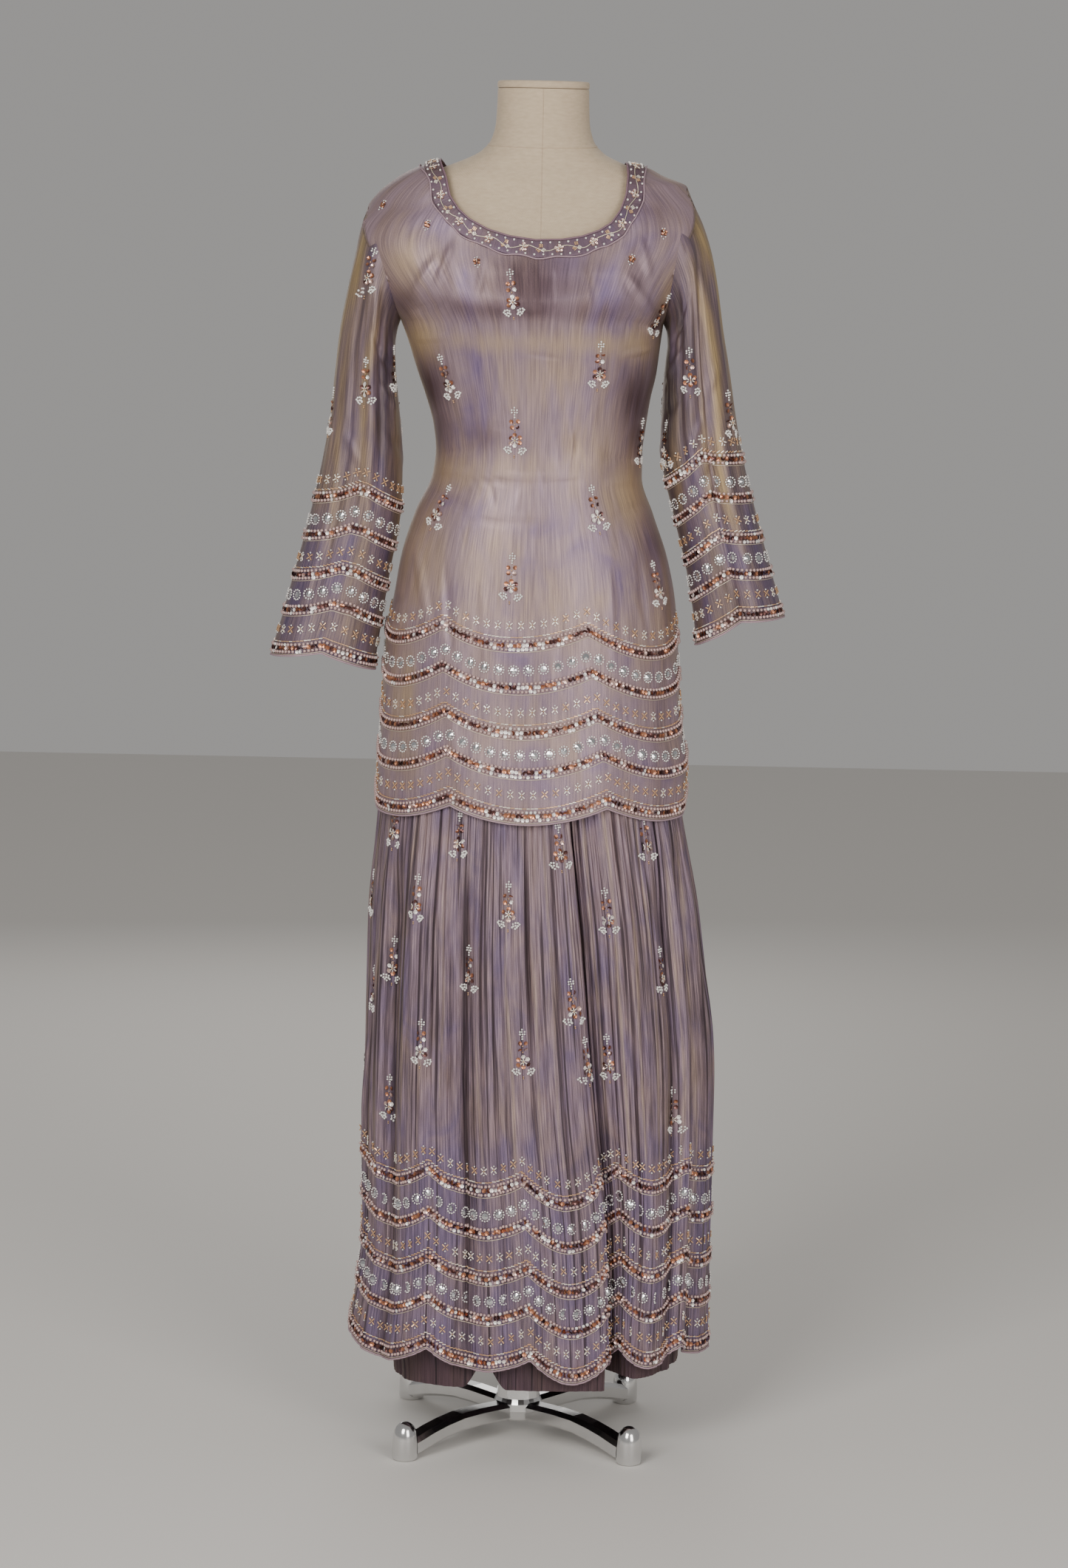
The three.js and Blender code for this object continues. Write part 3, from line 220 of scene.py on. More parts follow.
# Sharper pleats of a leg on top of the folds: place, drift to the hem, depth, half width, start, end
LEG_PLEATS = {
    "right": [
        (0.22, 0.05, 2.0, 0.07, 760, 300), (0.62, 0.1, -2.4, 0.06, 780, 200),
        (0.95, 0.0, 2.2, 0.08, 800, 330), (1.22, -0.05, -2.2, 0.06, 770, 430),
        (1.86, 0.05, 2.0, 0.07, 790, 300), (2.12, 0.1, -2.6, 0.06, 790, 380),
        (2.42, 0.12, -4.0, 0.05, 700, 110), (2.82, 0.05, 2.4, 0.08, 800, 240),
        (3.1, 0.02, -2.6, 0.06, 790, 420), (3.5, 0.0, 2.6, 0.07, 780, 250),
        (3.98, 0.02, -5.0, 0.05, 800, 300), (4.3, 0.02, 2.6, 0.07, 790, 260),
        (4.62, 0.0, -2.6, 0.07, 760, 150), (5.1, 0.0, 2.6, 0.07, 790, 200),
        (6.0, 0.0, 2.6, 0.08, 790, 200), (6.9, 0.0, 2.6, 0.08, 790, 200), (7.8, 0.0, 2.6, 0.08, 790, 200),
        (8.7, 0.0, 2.4, 0.08, 790, 200), (9.6, 0.0, 2.0, 0.08, 700, 300)],
    "left": [
        (0.7, 0.0, 2.2, 0.08, 790, 250), (1.1, 0.05, -2.6, 0.06, 790, 160),
        (1.42, 0.0, 2.4, 0.07, 780, 330), (1.85, 0.05, -3.0, 0.06, 790, 240),
        (2.3, 0.0, -4.2, 0.05, 780, 110), (2.62, 0.0, 2.6, 0.07, 770, 230),
        (3.0, 0.0, -5.0, 0.05, 790, 110), (3.4, 0.0, 2.6, 0.08, 780, 240),
        (4.1, 0.0, 2.6, 0.08, 780, 240), (4.9, 0.0, 2.6, 0.08, 780, 240), (5.8, 0.0, 2.6, 0.08, 780, 240),
        (6.7, 0.0, 2.6, 0.08, 780, 240), (7.7, 0.0, 2.6, 0.08, 780, 240), (8.7, 0.0, 2.4, 0.08, 780, 240),
        (9.6, 0.0, 2.0, 0.08, 700, 300)],
}
# Linings: hem height, how far in the hem stands, its waves, and place, half width and rise of a lift
LINING_TOP, LINING_GAP = 205, 2.4
LINING = {
    "right": (85, [5, 12, 16, 22, 36, 54, 40, 20, 15, 15, 15, 9],
              [1, 1, 0, 0, 0, 2, 6, 8, 6, 4, 2, 0], (2.25, 0.35, 30)),
    "left": (96, [12, 13, 15, 24, 32, 30, 20, 15, 13, 12, 12, 12],
             [2, 0, 3, 5, 4, 2, 2, 2, 2, 2, 2, 2], (6, 0.35, 8)),
}

# Dress form: height, half width, front and back depth
FORM = np.array([
    [860, 150, 84, 100], [875, 156, 92, 108], [920, 160, 98, 115], [961, 160, 100, 117],
    [1002, 156, 98, 113], [1050, 146, 94, 104], [1086, 134, 89, 93], [1115, 124, 84, 82],
    [1145, 113, 81, 75], [1173, 112, 82, 74], [1201, 114, 84, 76], [1236, 121, 90, 80],
    [1264, 128, 96, 83], [1300, 134, 105, 87], [1338, 139, 113, 90], [1380, 145, 103, 91],
    [1420, 151, 87, 88], [1450, 155, 77, 83], [1470, 150, 70, 77], [1484, 139, 65, 71],
    [1494, 121, 60.5, 64], [1501, 103, 57.5, 60], [1508, 86, 56.5, 58], [1516, 71, 55.5, 56.5],
    [1530, 59, 54, 54], [1550, 54, 51.5, 51.5], [1570, 53, 50.5, 50.5], [1588, 52.5, 50, 50]])
FORM_ROUND, FORM_SIDES = 0.97, 112

# Border rows above the hem: kind and height of the row's middle
BORDER = [
    ("star", 228), ("band", 215), ("ring", 177), ("narrow", 162), ("star", 129),
    ("band", 115), ("ring", 80), ("narrow", 65), ("star", 35), ("hem", 19.5)]
BORDER_HEIGHT, STAR_PITCH, RING_PITCH = 215, 13.1, 17.2
# The kurti's top border row against its hem: shift of the lobes round the kurti, drop at the left side
BORDER_LEAN, BORDER_DROP = 0.042, 15
# Rows of a band: kind and depth below its top line
BAND_ROWS = {
    "band": [("dash", 0), ("bead", 4.4), ("sequin", 9.2), ("mixed", 13.9), ("thread", 17.2)],
    "narrow": [("bead", 0), ("sequin", 4.3), ("mixed", 9.2), ("thread", 12.6)],
    "hem": [("dash", 0), ("bead", 4.3), ("sequin", 8.8), ("mixed", 13.2), ("thread", 16.6)],
}

# Motif places: x and height of the middle, tilt in degrees
MOTIFS_KURTI = {
    "front": [
        (-31, 1356, 0), (70, 1276, 2), (-104, 1258, 6), (-25, 1199, 0), (-110, 1109, -4),
        (69, 1112, 2), (-26, 1033, 0), (142, 1024, 4), (137, 1333, 4), (119, 1186, 6)],
    "back": [
        (-30, 1370, 0), (68, 1300, 2), (-104, 1290, -4), (-20, 1210, 0), (80, 1190, 3),
        (-98, 1130, -3), (64, 1110, 2), (-24, 1050, 0), (128, 1040, 4), (-132, 1030, -4)],
}
SPRIGS_KURTI = {
    "front": [(-181, 1453), (-129, 1432), (140, 1428), (104, 1398), (-72, 1392)],
    "back": [(-150, 1440), (-90, 1420), (60, 1425), (130, 1430)],
}
# Motifs of a sleeve: turn in degrees, ring
MOTIFS_SLEEVE = {
    "right": [(88, 4.55), (22, 5.9), (70, 1.3), (150, 3.2), (205, 4.8), (268, 2.4), (300, 5.0)],
    "left": [(97, 4.75), (150, 6.0), (36, 6.8), (205, 4.4), (268, 2.4), (310, 5.0)],
}
MOTIFS_LEG_FRONT = {
    "right": [(-156, 738, 0), (-80, 735, 0), (36, 726, 2), (-129, 659, 0), (-22, 657, 0),
              (-155, 580, 0), (-66, 580, 0), (55, 546, 3), (-120, 492, 0), (-2, 487, 0),
              (72, 478, 3), (-157, 417, 0)],
    "left": [(135, 732, 2), (92, 649, 2), (156, 578, 2), (97, 478, 2), (172, 410, 2)],
}
# Motifs on the back of each leg: place, height
MOTIFS_LEG_BACK = [
    (4.9, 650), (5.6, 560), (6.4, 690), (6.9, 600), (7.4, 500), (7.9, 690), (8.4, 590), (8.9, 480),
    (5.2, 460), (6.1, 430), (4.6, 540), (7.9, 410)]

# Tones of the shot silk, each a patch: x, height, half width, half height, strength. The gold patches are a
# painted sheen where the silk's gold weft catches the light, and the dark patches are painted shade on the
# chest and down the sides
# Painted gold sheen, strongest at the sides and the waist
GOLD_SHEEN_KURTI = [
    (-30, 1300, 100, 13, 0.5), (70, 1302, 60, 14, 0.55), (-134, 1302, 22, 24, 1.0),
    (118, 1300, 24, 20, 0.8), (-100, 1150, 40, 26, 0.7), (-132, 1060, 30, 70, 0.55),
    (110, 1128, 30, 40, 0.75), (60, 1180, 30, 44, 0.4), (0, 1258, 60, 34, 0.3), (-20, 1160, 60, 20, 0.35),
    (20, 1000, 100, 40, 0.25), (-60, 1020, 40, 60, 0.3), (0, 860, 160, 80, 0.12), (140, 980, 30, 60, 0.4),
    (-150, 900, 24, 90, 0.45), (80, 1400, 30, 20, 0.15), (-150, 1395, 22, 30, 0.55),
    (146, 1368, 16, 40, 0.45)]
# Painted shade: darker patches on the chest and at the sides, where the light falls off
PAINTED_SHADE_KURTI = [
    (-10, 1342, 120, 17, 1.0), (-8, 1366, 66, 42, 1.0), (-104, 1380, 14, 50, 0.6),
    (106, 1385, 16, 46, 0.65), (-128, 1244, 26, 46, 0.95), (-118, 1196, 22, 40, 0.7),
    (112, 1240, 22, 50, 0.9), (116, 1196, 18, 40, 0.7), (134, 1070, 16, 60, 0.5),
    (-142, 1110, 14, 40, 0.4), (150, 960, 14, 120, 0.35), (-60, 1192, 22, 16, 0.45),
    (-150, 1345, 18, 24, 0.6), (140, 1330, 14, 22, 0.7), (-160, 1425, 34, 34, 0.35),
    (125, 1430, 30, 40, 0.35), (40, 1390, 30, 20, 0.4), (-50, 1392, 24, 16, 0.4)]
VIOLET_KURTI = [
    (-82, 1366, 12, 46, 0.8), (76, 1352, 18, 56, 0.9), (-70, 1246, 22, 56, 0.8), (-10, 1296, 60, 10, 0.3),
    (-84, 1110, 16, 70, 0.55), (10, 1090, 60, 14, 0.5), (60, 1100, 22, 60, 0.4), (-30, 960, 50, 40, 0.4),
    (90, 1000, 26, 60, 0.45), (0, 900, 150, 30, 0.35), (0, 800, 150, 50, 0.35), (20, 1400, 60, 20, 0.5),
    (-130, 1420, 30, 40, 0.5), (110, 1440, 30, 40, 0.5)]
TONES_KURTI = {"gold": GOLD_SHEEN_KURTI, "dark": PAINTED_SHADE_KURTI, "violet": VIOLET_KURTI}
# Tones of a sleeve: turn in degrees, ring, half widths of both, strength; gold is a painted sheen and dark
# is painted shade
GOLD_SHEEN_SLEEVE = {
    "right": [(28, 3, 16, 4.5, 0.9), (96, 5, 9, 4.5, 0.6), (52, 6.5, 8, 3.0, 0.5), (165, 6, 16, 4, 0.5),
              (110, 11, 60, 4, 0.1), (240, 5, 30, 6, 0.5), (320, 5, 24, 6, 0.5)],
    "left": [(20, 3, 18, 4.5, 0.95), (58, 6, 8, 4, 0.9), (84, 7.5, 8, 2, 0.6), (134, 7.4, 8, 2, 0.45),
             (110, 11, 60, 4, 0.1), (240, 5, 30, 6, 0.5), (320, 5, 24, 6, 0.5)],
}
PAINTED_SHADE_SLEEVE = {
    "right": [(130, 3.5, 16, 4, 0.7), (62, 5, 7, 6, 0.45), (8, 6, 12, 8, 0.4), (150, 8, 16, 4, 0.5),
              (215, 6, 14, 6, 0.6), (285, 6, 14, 6, 0.5)],
    "left": [(146, 4.2, 28, 4.5, 1.0), (108, 3.0, 14, 3, 0.8), (45, 5, 8, 6, 0.5), (104, 12, 10, 4, 0.5),
             (215, 6, 14, 6, 0.6), (285, 6, 14, 6, 0.5)],
}
TONES_SLEEVE = {"gold": GOLD_SHEEN_SLEEVE, "dark": PAINTED_SHADE_SLEEVE}
# Brown and gold strips beside the pleats of a leg, a painted sheen: place, half width, top, foot, strength
SHEEN_STRIPS_LEG = {
    "right": [(0.3, 0.05, 800, 520, 0.8), (0.75, 0.06, 780, 300, 0.6), (1.12, 0.05, 640, 200, 0.5),
              (1.62, 0.05, 700, 240, 0.7), (2.22, 0.05, 560, 300, 0.5), (2.9, 0.06, 800, 350, 0.6),
              (3.3, 0.05, 600, 240, 0.5), (3.7, 0.06, 800, 200, 0.7), (4.4, 0.08, 780, 300, 0.6),
              (5.3, 0.08, 780, 300, 0.6), (6.4, 0.1, 780, 300, 0.6), (7.6, 0.1, 780, 300, 0.6),
              (9.0, 0.1, 780, 300, 0.6)],
    "left": [(0.35, 0.09, 830, 380, 0.9), (0.85, 0.08, 830, 250, 0.9), (1.3, 0.06, 700, 300, 0.8),
             (1.72, 0.08, 830, 240, 0.8), (2.12, 0.06, 600, 200, 0.7), (2.5, 0.07, 760, 260, 0.8),
             (3.15, 0.08, 760, 200, 0.8), (4.2, 0.08, 780, 300, 0.6), (5.4, 0.1, 780, 300, 0.6),
             (6.6, 0.1, 780, 300, 0.6), (8.0, 0.1, 780, 300, 0.6), (9.2, 0.1, 780, 300, 0.6)],
}
SLEEVE = {"right": SLEEVE_RIGHT, "left": SLEEVE_LEFT}
SLEEVE_END = len(SLEEVE_RIGHT) - 1
SIDES = ("left", "right")
DEPTH_COLUMN = {"front": 3, "back": 4}
# Lengths over which the kurti's folds fade in, its relief fades at the seams, and rows of hem and neck
FOLD_FADE, SEAM_FADE, HEM_ROWS, NECK_ROWS = 170, 0.03, 5, 8
# Steps along each surface, in its own two coordinates, for finding directions
KURTI_STEPS, BAND_STEPS, SLEEVE_STEPS, LEG_STEPS = (0.004, 1.0), (0.004, 0.04), (0.02, 0.03), (0.01, 1.0)


# Curves and waves
def curve(table, at, column):
    """A table's value at a height, along smooth curves that never overshoot."""
    rows = np.asarray(table, float)
    rows = rows[np.argsort(rows[:, 0])]
    xs, ys = rows[:, 0], rows[:, column]
    step = np.diff(ys) / np.diff(xs)
    a, b = step[:-1], step[1:]
    same = a * b > 0
    inner = np.where(same, 2 * a * b / np.where(same, a + b, 1.0), 0.0)
    slope = np.concatenate([step[:1], inner, step[-1:]])
    at = np.clip(np.asarray(at, float), xs[0], xs[-1])
    i = np.clip(np.searchsorted(xs, at, side="right") - 1, 0, len(xs) - 2)
    h = xs[i + 1] - xs[i]
    t = (at - xs[i]) / h
    return (ys[i] * (2 * t**3 - 3 * t**2 + 1) + slope[i] * h * (t**3 - 2 * t**2 + t)
            + ys[i + 1] * (3 * t**2 - 2 * t**3) + slope[i + 1] * h * (t**3 - t**2))


def ease(x):
    """From 0 at 0 to 1 at 1, with no corner at either end."""
    x = np.clip(x, 0.0, 1.0)
    return x * x * (3 - 2 * x)


def bump(x):
    """1 in the middle, falling to 0 at -1 and 1."""
    return np.where(np.abs(x) < 1, 0.5 + 0.5 * np.cos(np.pi * np.clip(x, -1, 1)), 0.0)


def scallop(share):
    """0 at a peak of the scalloped line, 1 at a lobe's low point."""
    return 1 - (2 * (share - np.floor(share)) - 1) ** 2


def unit(vectors):
    return vectors / np.linalg.norm(vectors, axis=-1, keepdims=True)


def wrapped(apart, period):
    """A distance round a ring, taken the shorter way."""
    return (apart + period / 2) % period - period / 2


def outward_sign(p, n):
    """1 where normals point away from the middle of their points, -1 where they point in."""
    return 1.0 if ((p - p.reshape(-1, 3).mean(axis=0)) * n).sum(-1).mean() > 0 else -1.0


# Kurti panels
def edge_angle(z, side, depth):
    """How far round from the side line the armhole's edge lies."""
    _, tip_z, _, under_z, half = ARMHOLE[side]
    c = (z - (tip_z + under_z) / 2) / ((tip_z - under_z) / 2)
    out = np.where(np.abs(c) < 1, half * np.sqrt(np.clip(1 - c * c, 0, 1)), 0.0)
    return np.arcsin(np.clip(out / depth, 0, 1) ** (1 / ROUND))


def torso_width(left, z, depth):
    """Half width of the ring that passes through the armhole's edge."""
    widths = []
    for side, sign, column in (("left", -1, 1), ("right", 1, 2)):
        half = np.abs(sign * curve(TORSO, z, column) - MID_X)
        widths.append(half / np.cos(edge_angle(z, side, depth)))
    return np.where(left, *widths)


def angle_at(x, z, face):
    """The angle of the kurti's point at this x and height."""
    left = x < MID_X
    width = torso_width(left, z, curve(TORSO, z, DEPTH_COLUMN[face]))
    turned = np.arccos(np.clip(np.abs(x - MID_X) / width, 0, 1))
    return np.where(left, turned, np.pi - turned)


def crease_field(x, z, creases):
    """Displacement from a table of creases, each a soft ridge or groove along a line."""
    out = np.zeros(np.shape(x))
    for x0, z0, x1, z1, half, depth in creases:
        length = math.hypot(x1 - x0, z1 - z0)
        along = ((x - x0) * (x1 - x0) + (z - z0) * (z1 - z0)) / length
        across = ((x - x0) * (z1 - z0) - (z - z0) * (x1 - x0)) / length
        taper = np.clip(np.minimum(along, length - along) / (0.35 * length), 0, 1)
        out = out + depth * ease(taper) * bump(across / (half * (0.6 + 0.4 * taper)))
    return out


def kurti_surface(angle, z, face):
    """A point of the kurti: angle from the left side line to the right one, height."""
    angle, z = np.broadcast_arrays(np.asarray(angle, float), np.asarray(z, float))
    depth = curve(TORSO, z, DEPTH_COLUMN[face])
    left = angle < np.pi / 2
    x = MID_X + np.where(left, -1.0, 1.0) * torso_width(left, z, depth) * np.abs(np.cos(angle))
    y = depth * np.clip(np.sin(angle), 0, 1) ** ROUND * (-1 if face == "front" else 1)
    out = crease_field(x, z, KURTI_CREASES[face])
    u = angle / np.pi
    for place, amount, half, end in KURTI_FOLDS[face]:
        out = out + amount * bump((u - place) / half) * ease((end - z) / FOLD_FADE)
    out = out * ease(np.minimum(u, 1 - u) / SEAM_FADE)
    away = unit(np.stack([x - MID_X, y * 2], -1))
    return np.stack([x + away[..., 0] * out, y + away[..., 1] * out, z], -1)


def edge_height(row, side):
    """Height of a panel's edge at a row: shoulder ridge, armhole, then side seam."""
    _, tip_z, _, under_z, _ = ARMHOLE[side]
    neck = NECK["front"][0 if side == "left" else -1]
    turn = np.pi * (row - SHOULDER_ROWS) / ARMHOLE_ROWS
    armhole = (tip_z + under_z) / 2 + (tip_z - under_z) / 2 * np.cos(turn)
    down = (row - SHOULDER_ROWS - ARMHOLE_ROWS) / SIDE_ROWS
    side_seam = under_z + (HEM_LOW + HEM_RISE - under_z) * down
    ridge = neck[3] + (tip_z - neck[3]) * (row - 1) / (SHOULDER_ROWS - 1)
    first = neck[1] + (neck[3] - neck[1]) * row
    return np.select([row <= 1, row <= SHOULDER_ROWS, row <= SHOULDER_ROWS + ARMHOLE_ROWS],
                     [first, ridge, armhole], side_seam)


def neck_at(face, u):
    """The neckline and the line one row out from it, at a share of its length."""
    line = NECK[face]
    length = np.concatenate([[0], np.cumsum(np.hypot(*np.diff(line[:, :2], axis=0).T))])
    return [np.interp(u, length / length[-1], line[:, k]) for k in range(4)]


def kurti_angle_height(u, row, face):
    """Angle and height of a kurti panel's point, rows counted down from the neckline."""
    nx, nz, ox, oz = neck_at(face, u)
    share = np.clip(row, 0, 1)
    x, z = nx + (ox - nx) * share, nz + (oz - nz) * share
    edge = (u <= 0) | (u >= 1)
    near = np.where(edge, u * np.pi, angle_at(x, z, face))
    heights = [edge_height(np.maximum(row, 1), side) for side in SIDES]
    starts = [edge_angle(h, side, curve(TORSO, h, DEPTH_COLUMN[face])) for h, side in zip(heights, SIDES)]
    even = starts[0] + (np.pi - starts[0] - starts[1]) * u
    pull = 1 - ease((row - 1) / (SHOULDER_ROWS + ARMHOLE_ROWS - 1))
    first = [edge_height(np.array(1.0), side) for side in SIDES]
    sag = (oz - (first[0] + (first[1] - first[0]) * u)) * pull
    low = ease((row - PANEL_ROWS + HEM_ROWS) / HEM_ROWS)
    drop = PANEL_DROP[face] * (1 - (2 * u - 1) ** 2) * (1 - pull) * (1 - low)
    straight = heights[0] + (heights[1] - heights[0]) * u
    lower = straight + sag - drop - HEM_RISE * scallop(u * HEM_LOBES) * low
    blend = np.where(edge, 0.0, 1 - ease((row - 1) / NECK_ROWS))
    angle = even + (angle_at(ox, oz, face) - even) * blend
    return np.where(row <= 1, near, angle), np.where(row <= 1, z, lower)


# Sleeves
def sleeve_relief(degrees, ring, side):
    """How far a sleeve's cloth stands out from its ring."""
    out = np.zeros(np.shape(degrees))
    down = (ring - 1) / (SLEEVE_END - 1)
    for top, cuff, amount, half in SLEEVE_LONG[side]:
        apart = wrapped(degrees - (top + (cuff - top) * down), 360)
        out = out + amount * bump(apart / half) * ease(down * 3)
    for top, cuff, start, end, half, amount in SLEEVE_FOLDS[side]:
        apart = wrapped(degrees - (top + (cuff - top) * ring / SLEEVE_END), 360)
        out = out + amount * bump(apart / half) * ease((ring - start) / 1.5) * ease((end - ring) / 2.5)
    for at, row, far, half, amount in SLEEVE_CREASES[side]:
        apart = wrapped(degrees - at, 360)
        tilt = row + apart / far * 0.35
        out = out + amount * bump(apart / far) * bump((ring - tilt) / half)
    return out * ease(ring / 0.8)


def sleeve_surface(turn, ring, side):
    """A point of a sleeve: turn from the outer side round the front, ring down from the armhole."""
    turn, ring = np.broadcast_arrays(np.asarray(turn, float), np.asarray(ring, float))
    rows = np.column_stack([np.arange(SLEEVE_END + 1), SLEEVE[side]])
    ox, oz, ix, iz, depth, y = [curve(rows, ring, k) for k in range(1, 7)]
    c, s = np.cos(turn), np.sin(turn)
    wave = 0.5 - scallop(CUFF_LOBES * turn / (2 * np.pi) + 0.5)
    lift = CUFF_RISE * wave * ease((ring - SLEEVE_END + 4) / 4)
    out = sleeve_relief(np.degrees(turn) % 360, ring, side)
    sign = -1.0 if side == "right" else 1.0
    away = unit(np.stack([sign * c * depth, -s * np.abs(ox - ix) / 2], -1))
    x = (ox + ix) / 2 + (ox - ix) / 2 * c
    z = (oz + iz) / 2 + (oz - iz) / 2 * c + lift
    return np.stack([x + away[..., 0] * out, y - depth * s + away[..., 1] * out, z], -1)


# Trouser legs
def spline_ring(points, place):
    """A closed smooth curve at places counted in points, on one ring or on one ring for each place."""
    i = np.floor(place).astype(int)
    t = (place - i)[..., None]
    n = points.shape[-2]
    rows = np.arange(points.shape[0]) if points.ndim == 3 else None

    def at(k):
        index = (i + k) % n
        return points[rows, index] if rows is not None else points[index]
    a, b, d, e = at(-1), at(0), at(1), at(2)
    return 0.5 * (2 * b + (d - a) * t + (2 * a - 5 * b + 4 * d - e) * t**2
                  + (3 * b - 3 * d + e - a) * t**3)


def ring_value(values, place):
    return spline_ring(np.array(values, float)[:, None], np.asarray(place, float))[..., 0]


def leg_section(side, z):
    """The ring of a leg at each height, as twelve points."""
    table = np.array([[height, *np.ravel(ring)] for height, ring in LEG_RINGS[side]], float)
    flat = np.stack([curve(table, z, k) for k in range(1, 2 * LEG_PLACES + 1)], -1)
    return flat.reshape(z.shape + (LEG_PLACES, 2))


def uneven_pleats(count, seed):
    """Narrow pleats at uneven places: place, drift, depth, half width, start, end."""
    rng = np.random.default_rng(seed)
    place = (np.arange(count) + rng.uniform(0.1, 0.9, count)) * LEG_PLACES / count
    start = rng.uniform(560, 840, count)
    drift, depth = rng.uniform(-0.12, 0.12, count), rng.choice([-1.7, -1.2, 0.9, 1.3], count)
    half, run = rng.uniform(0.05, 0.075, count), rng.uniform(180, 600, count)
    return np.column_stack([place, drift, depth, half, start, np.maximum(start - run, 130)])


FINE_PLEATS = {"right": uneven_pleats(64, 3), "left": uneven_pleats(58, 8)}
# Ripples all round a leg: how many, size, phase, lean
RIPPLES = ((61, 0.4, 0.3, 1.7), (97, 0.35, 1.9, -2.3), (149, 0.3, 4.1, 3.1))
GATHERS = 52


def down_leg(z):
    return (LEG_TOP - z) / (LEG_TOP - LEG_FOOT)


def fold_share(place, z, fold, narrowed=1.0):
    """How much of a fold's depth there is at each point."""
    top, hem, _, half, start = fold
    apart = wrapped(place - (top + (hem - top) * down_leg(z)), LEG_PLACES)
    return bump(apart / (half * narrowed)) * ease((start - z) / LEG_FADE)


def pleat_share(place, z, pleat):
    """How much of a pleat's depth there is at each point."""
    at, drift, _, half, start, end = pleat
    apart = wrapped(place - (at + drift * down_leg(z)), LEG_PLACES)
    return bump(apart / half) * ease((start - z) / 60 + 0.2) * ease((z - end) / 120)


def leg_relief(place, z, side):
    """How far a leg's cloth stands out from its ring."""
    turn = 2 * np.pi / LEG_PLACES * place
    out = np.zeros(np.shape(z))
    for fold in LEG_FOLDS[side]:
        out = out + fold[2] * fold_share(place, z, fold)
    for pleat in (*LEG_PLEATS[side], *FINE_PLEATS[side]):
        out = out + pleat[2] * pleat_share(place, z, pleat)
    for count, size, phase, lean in RIPPLES:
        out = out + size * np.sin(count * turn + phase + lean * np.sin(z / 130 + phase))
    return out + 1.1 * ease((z - 640) / 150) * np.sin(GATHERS * turn + 1.3 * np.sin(z / 60))


def ring_normal(tangent, from_centre):
    """Level normals of a ring, pointing away from its centre."""
    normal = unit(np.stack([tangent[..., 1], -tangent[..., 0]], -1))
    return normal * np.sign((from_centre * normal).sum(-1, keepdims=True))


def leg_surface(place, z, side, relief=True):
    """A point of a leg: place round its ring, height."""
    place, z = np.broadcast_arrays(np.asarray(place, float), np.asarray(z, float))
    shape = z.shape
    place, z = place.ravel(), z.ravel()
    section = leg_section(side, z)
    p = spline_ring(section, place)
    if relief:
        tangent = spline_ring(section, place + 0.05) - spline_ring(section, place - 0.05)
        p = p + ring_normal(tangent, p - section.mean(axis=1)) * leg_relief(place, z, side)[:, None]
    return np.concatenate([p, z[:, None]], -1).reshape(shape + (3,))


def hem_height(place, side):
    """Height of a leg's scalloped hem."""
    peaks, rise, low = LEG_HEM[side]
    edges = np.array([peaks[-1] - LEG_PLACES, *peaks, peaks[0] + LEG_PLACES])
    at = np.asarray(place, float) % LEG_PLACES
    i = np.clip(np.searchsorted(edges, at, side="right") - 1, 0, len(edges) - 2)
    share = (at - edges[i]) / (edges[i + 1] - edges[i])
    return ring_value(low, at) + rise * (1 - scallop(np.clip(share, 0, 0.9999)))


# Objects and meshes
def new_object(name, data):
    obj = bpy.data.objects.new(name, data)
    bpy.context.scene.collection.objects.link(obj)
    return obj


def take_place(piece, slot, node=None):
    """Fixes a piece to the body and hides the CAD node it is shown for; slot is not used."""
    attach(piece, "root")
    if node:
        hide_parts(node)


def new_mesh(name, points, faces, material, smooth=True, uv=None, values=None):
    """An object from points in millimetres and faces that all have the same number of corners."""
    mesh = bpy.data.meshes.new(name)
    points = np.asarray(points, np.float32).reshape(-1, 3) * MM
    faces = np.asarray(faces, np.int32)
    count, corners = faces.shape
    mesh.vertices.add(len(points))
    mesh.vertices.foreach_set("co", points.ravel())
    mesh.loops.add(count * corners)
    mesh.loops.foreach_set("vertex_index", faces.ravel())
    mesh.polygons.add(count)
    mesh.polygons.foreach_set("loop_start", np.arange(0, count * corners, corners, dtype=np.int32))
    mesh.polygons.foreach_set("loop_total", np.full(count, corners, np.int32))
    mesh.polygons.foreach_set("use_smooth", np.full(count, smooth))
    mesh.update(calc_edges=True)
    if uv is not None:
        layer = mesh.uv_layers.new(name="cloth")
        layer.data.foreach_set("uv", np.asarray(uv, np.float32)[faces.ravel()].ravel())
    for key, value in (values or {}).items():
        layer = mesh.attributes.new(key, "FLOAT", "POINT")
        layer.data.foreach_set("value", np.asarray(value, np.float32).ravel())
    mesh.materials.append(material)
    return new_object(name, mesh)


def grid_faces(rows, columns, closed):
    """Four-cornered faces of a grid of points, kept row by row."""
    i, j = np.meshgrid(np.arange(rows - 1), np.arange(columns if closed else columns - 1), indexing="ij")
    k = (j + 1) % columns
    corners = [i * columns + j, i * columns + k, (i + 1) * columns + k, (i + 1) * columns + j]
    return np.stack(corners, -1).reshape(-1, 4)


def tube_faces(count, sides, closed):
    """Four-cornered faces of a thin tube, kept ring by ring."""
    i, k = np.meshgrid(np.arange(count if closed else count - 1), np.arange(sides), indexing="ij")
    j, m = (i + 1) % count, (k + 1) % sides
    return np.stack([i * sides + k, i * sides + m, j * sides + m, j * sides + k], -1).reshape(-1, 4)


def grid_uv(grid):
    """Real lengths along the cloth, in metres, as its texture coordinates."""
    across = np.linalg.norm(np.diff(grid, axis=1), axis=-1)
    across = np.concatenate([np.zeros((len(grid), 1)), np.cumsum(across, axis=1)], 1)
    down = np.linalg.norm(np.diff(grid, axis=0), axis=-1).mean(axis=1)
    down = np.concatenate([[0], np.cumsum(down)])
    u, v = np.broadcast_arrays(across.mean(axis=0)[None, :], -down[:, None])
    return np.stack([u, v], -1) * MM


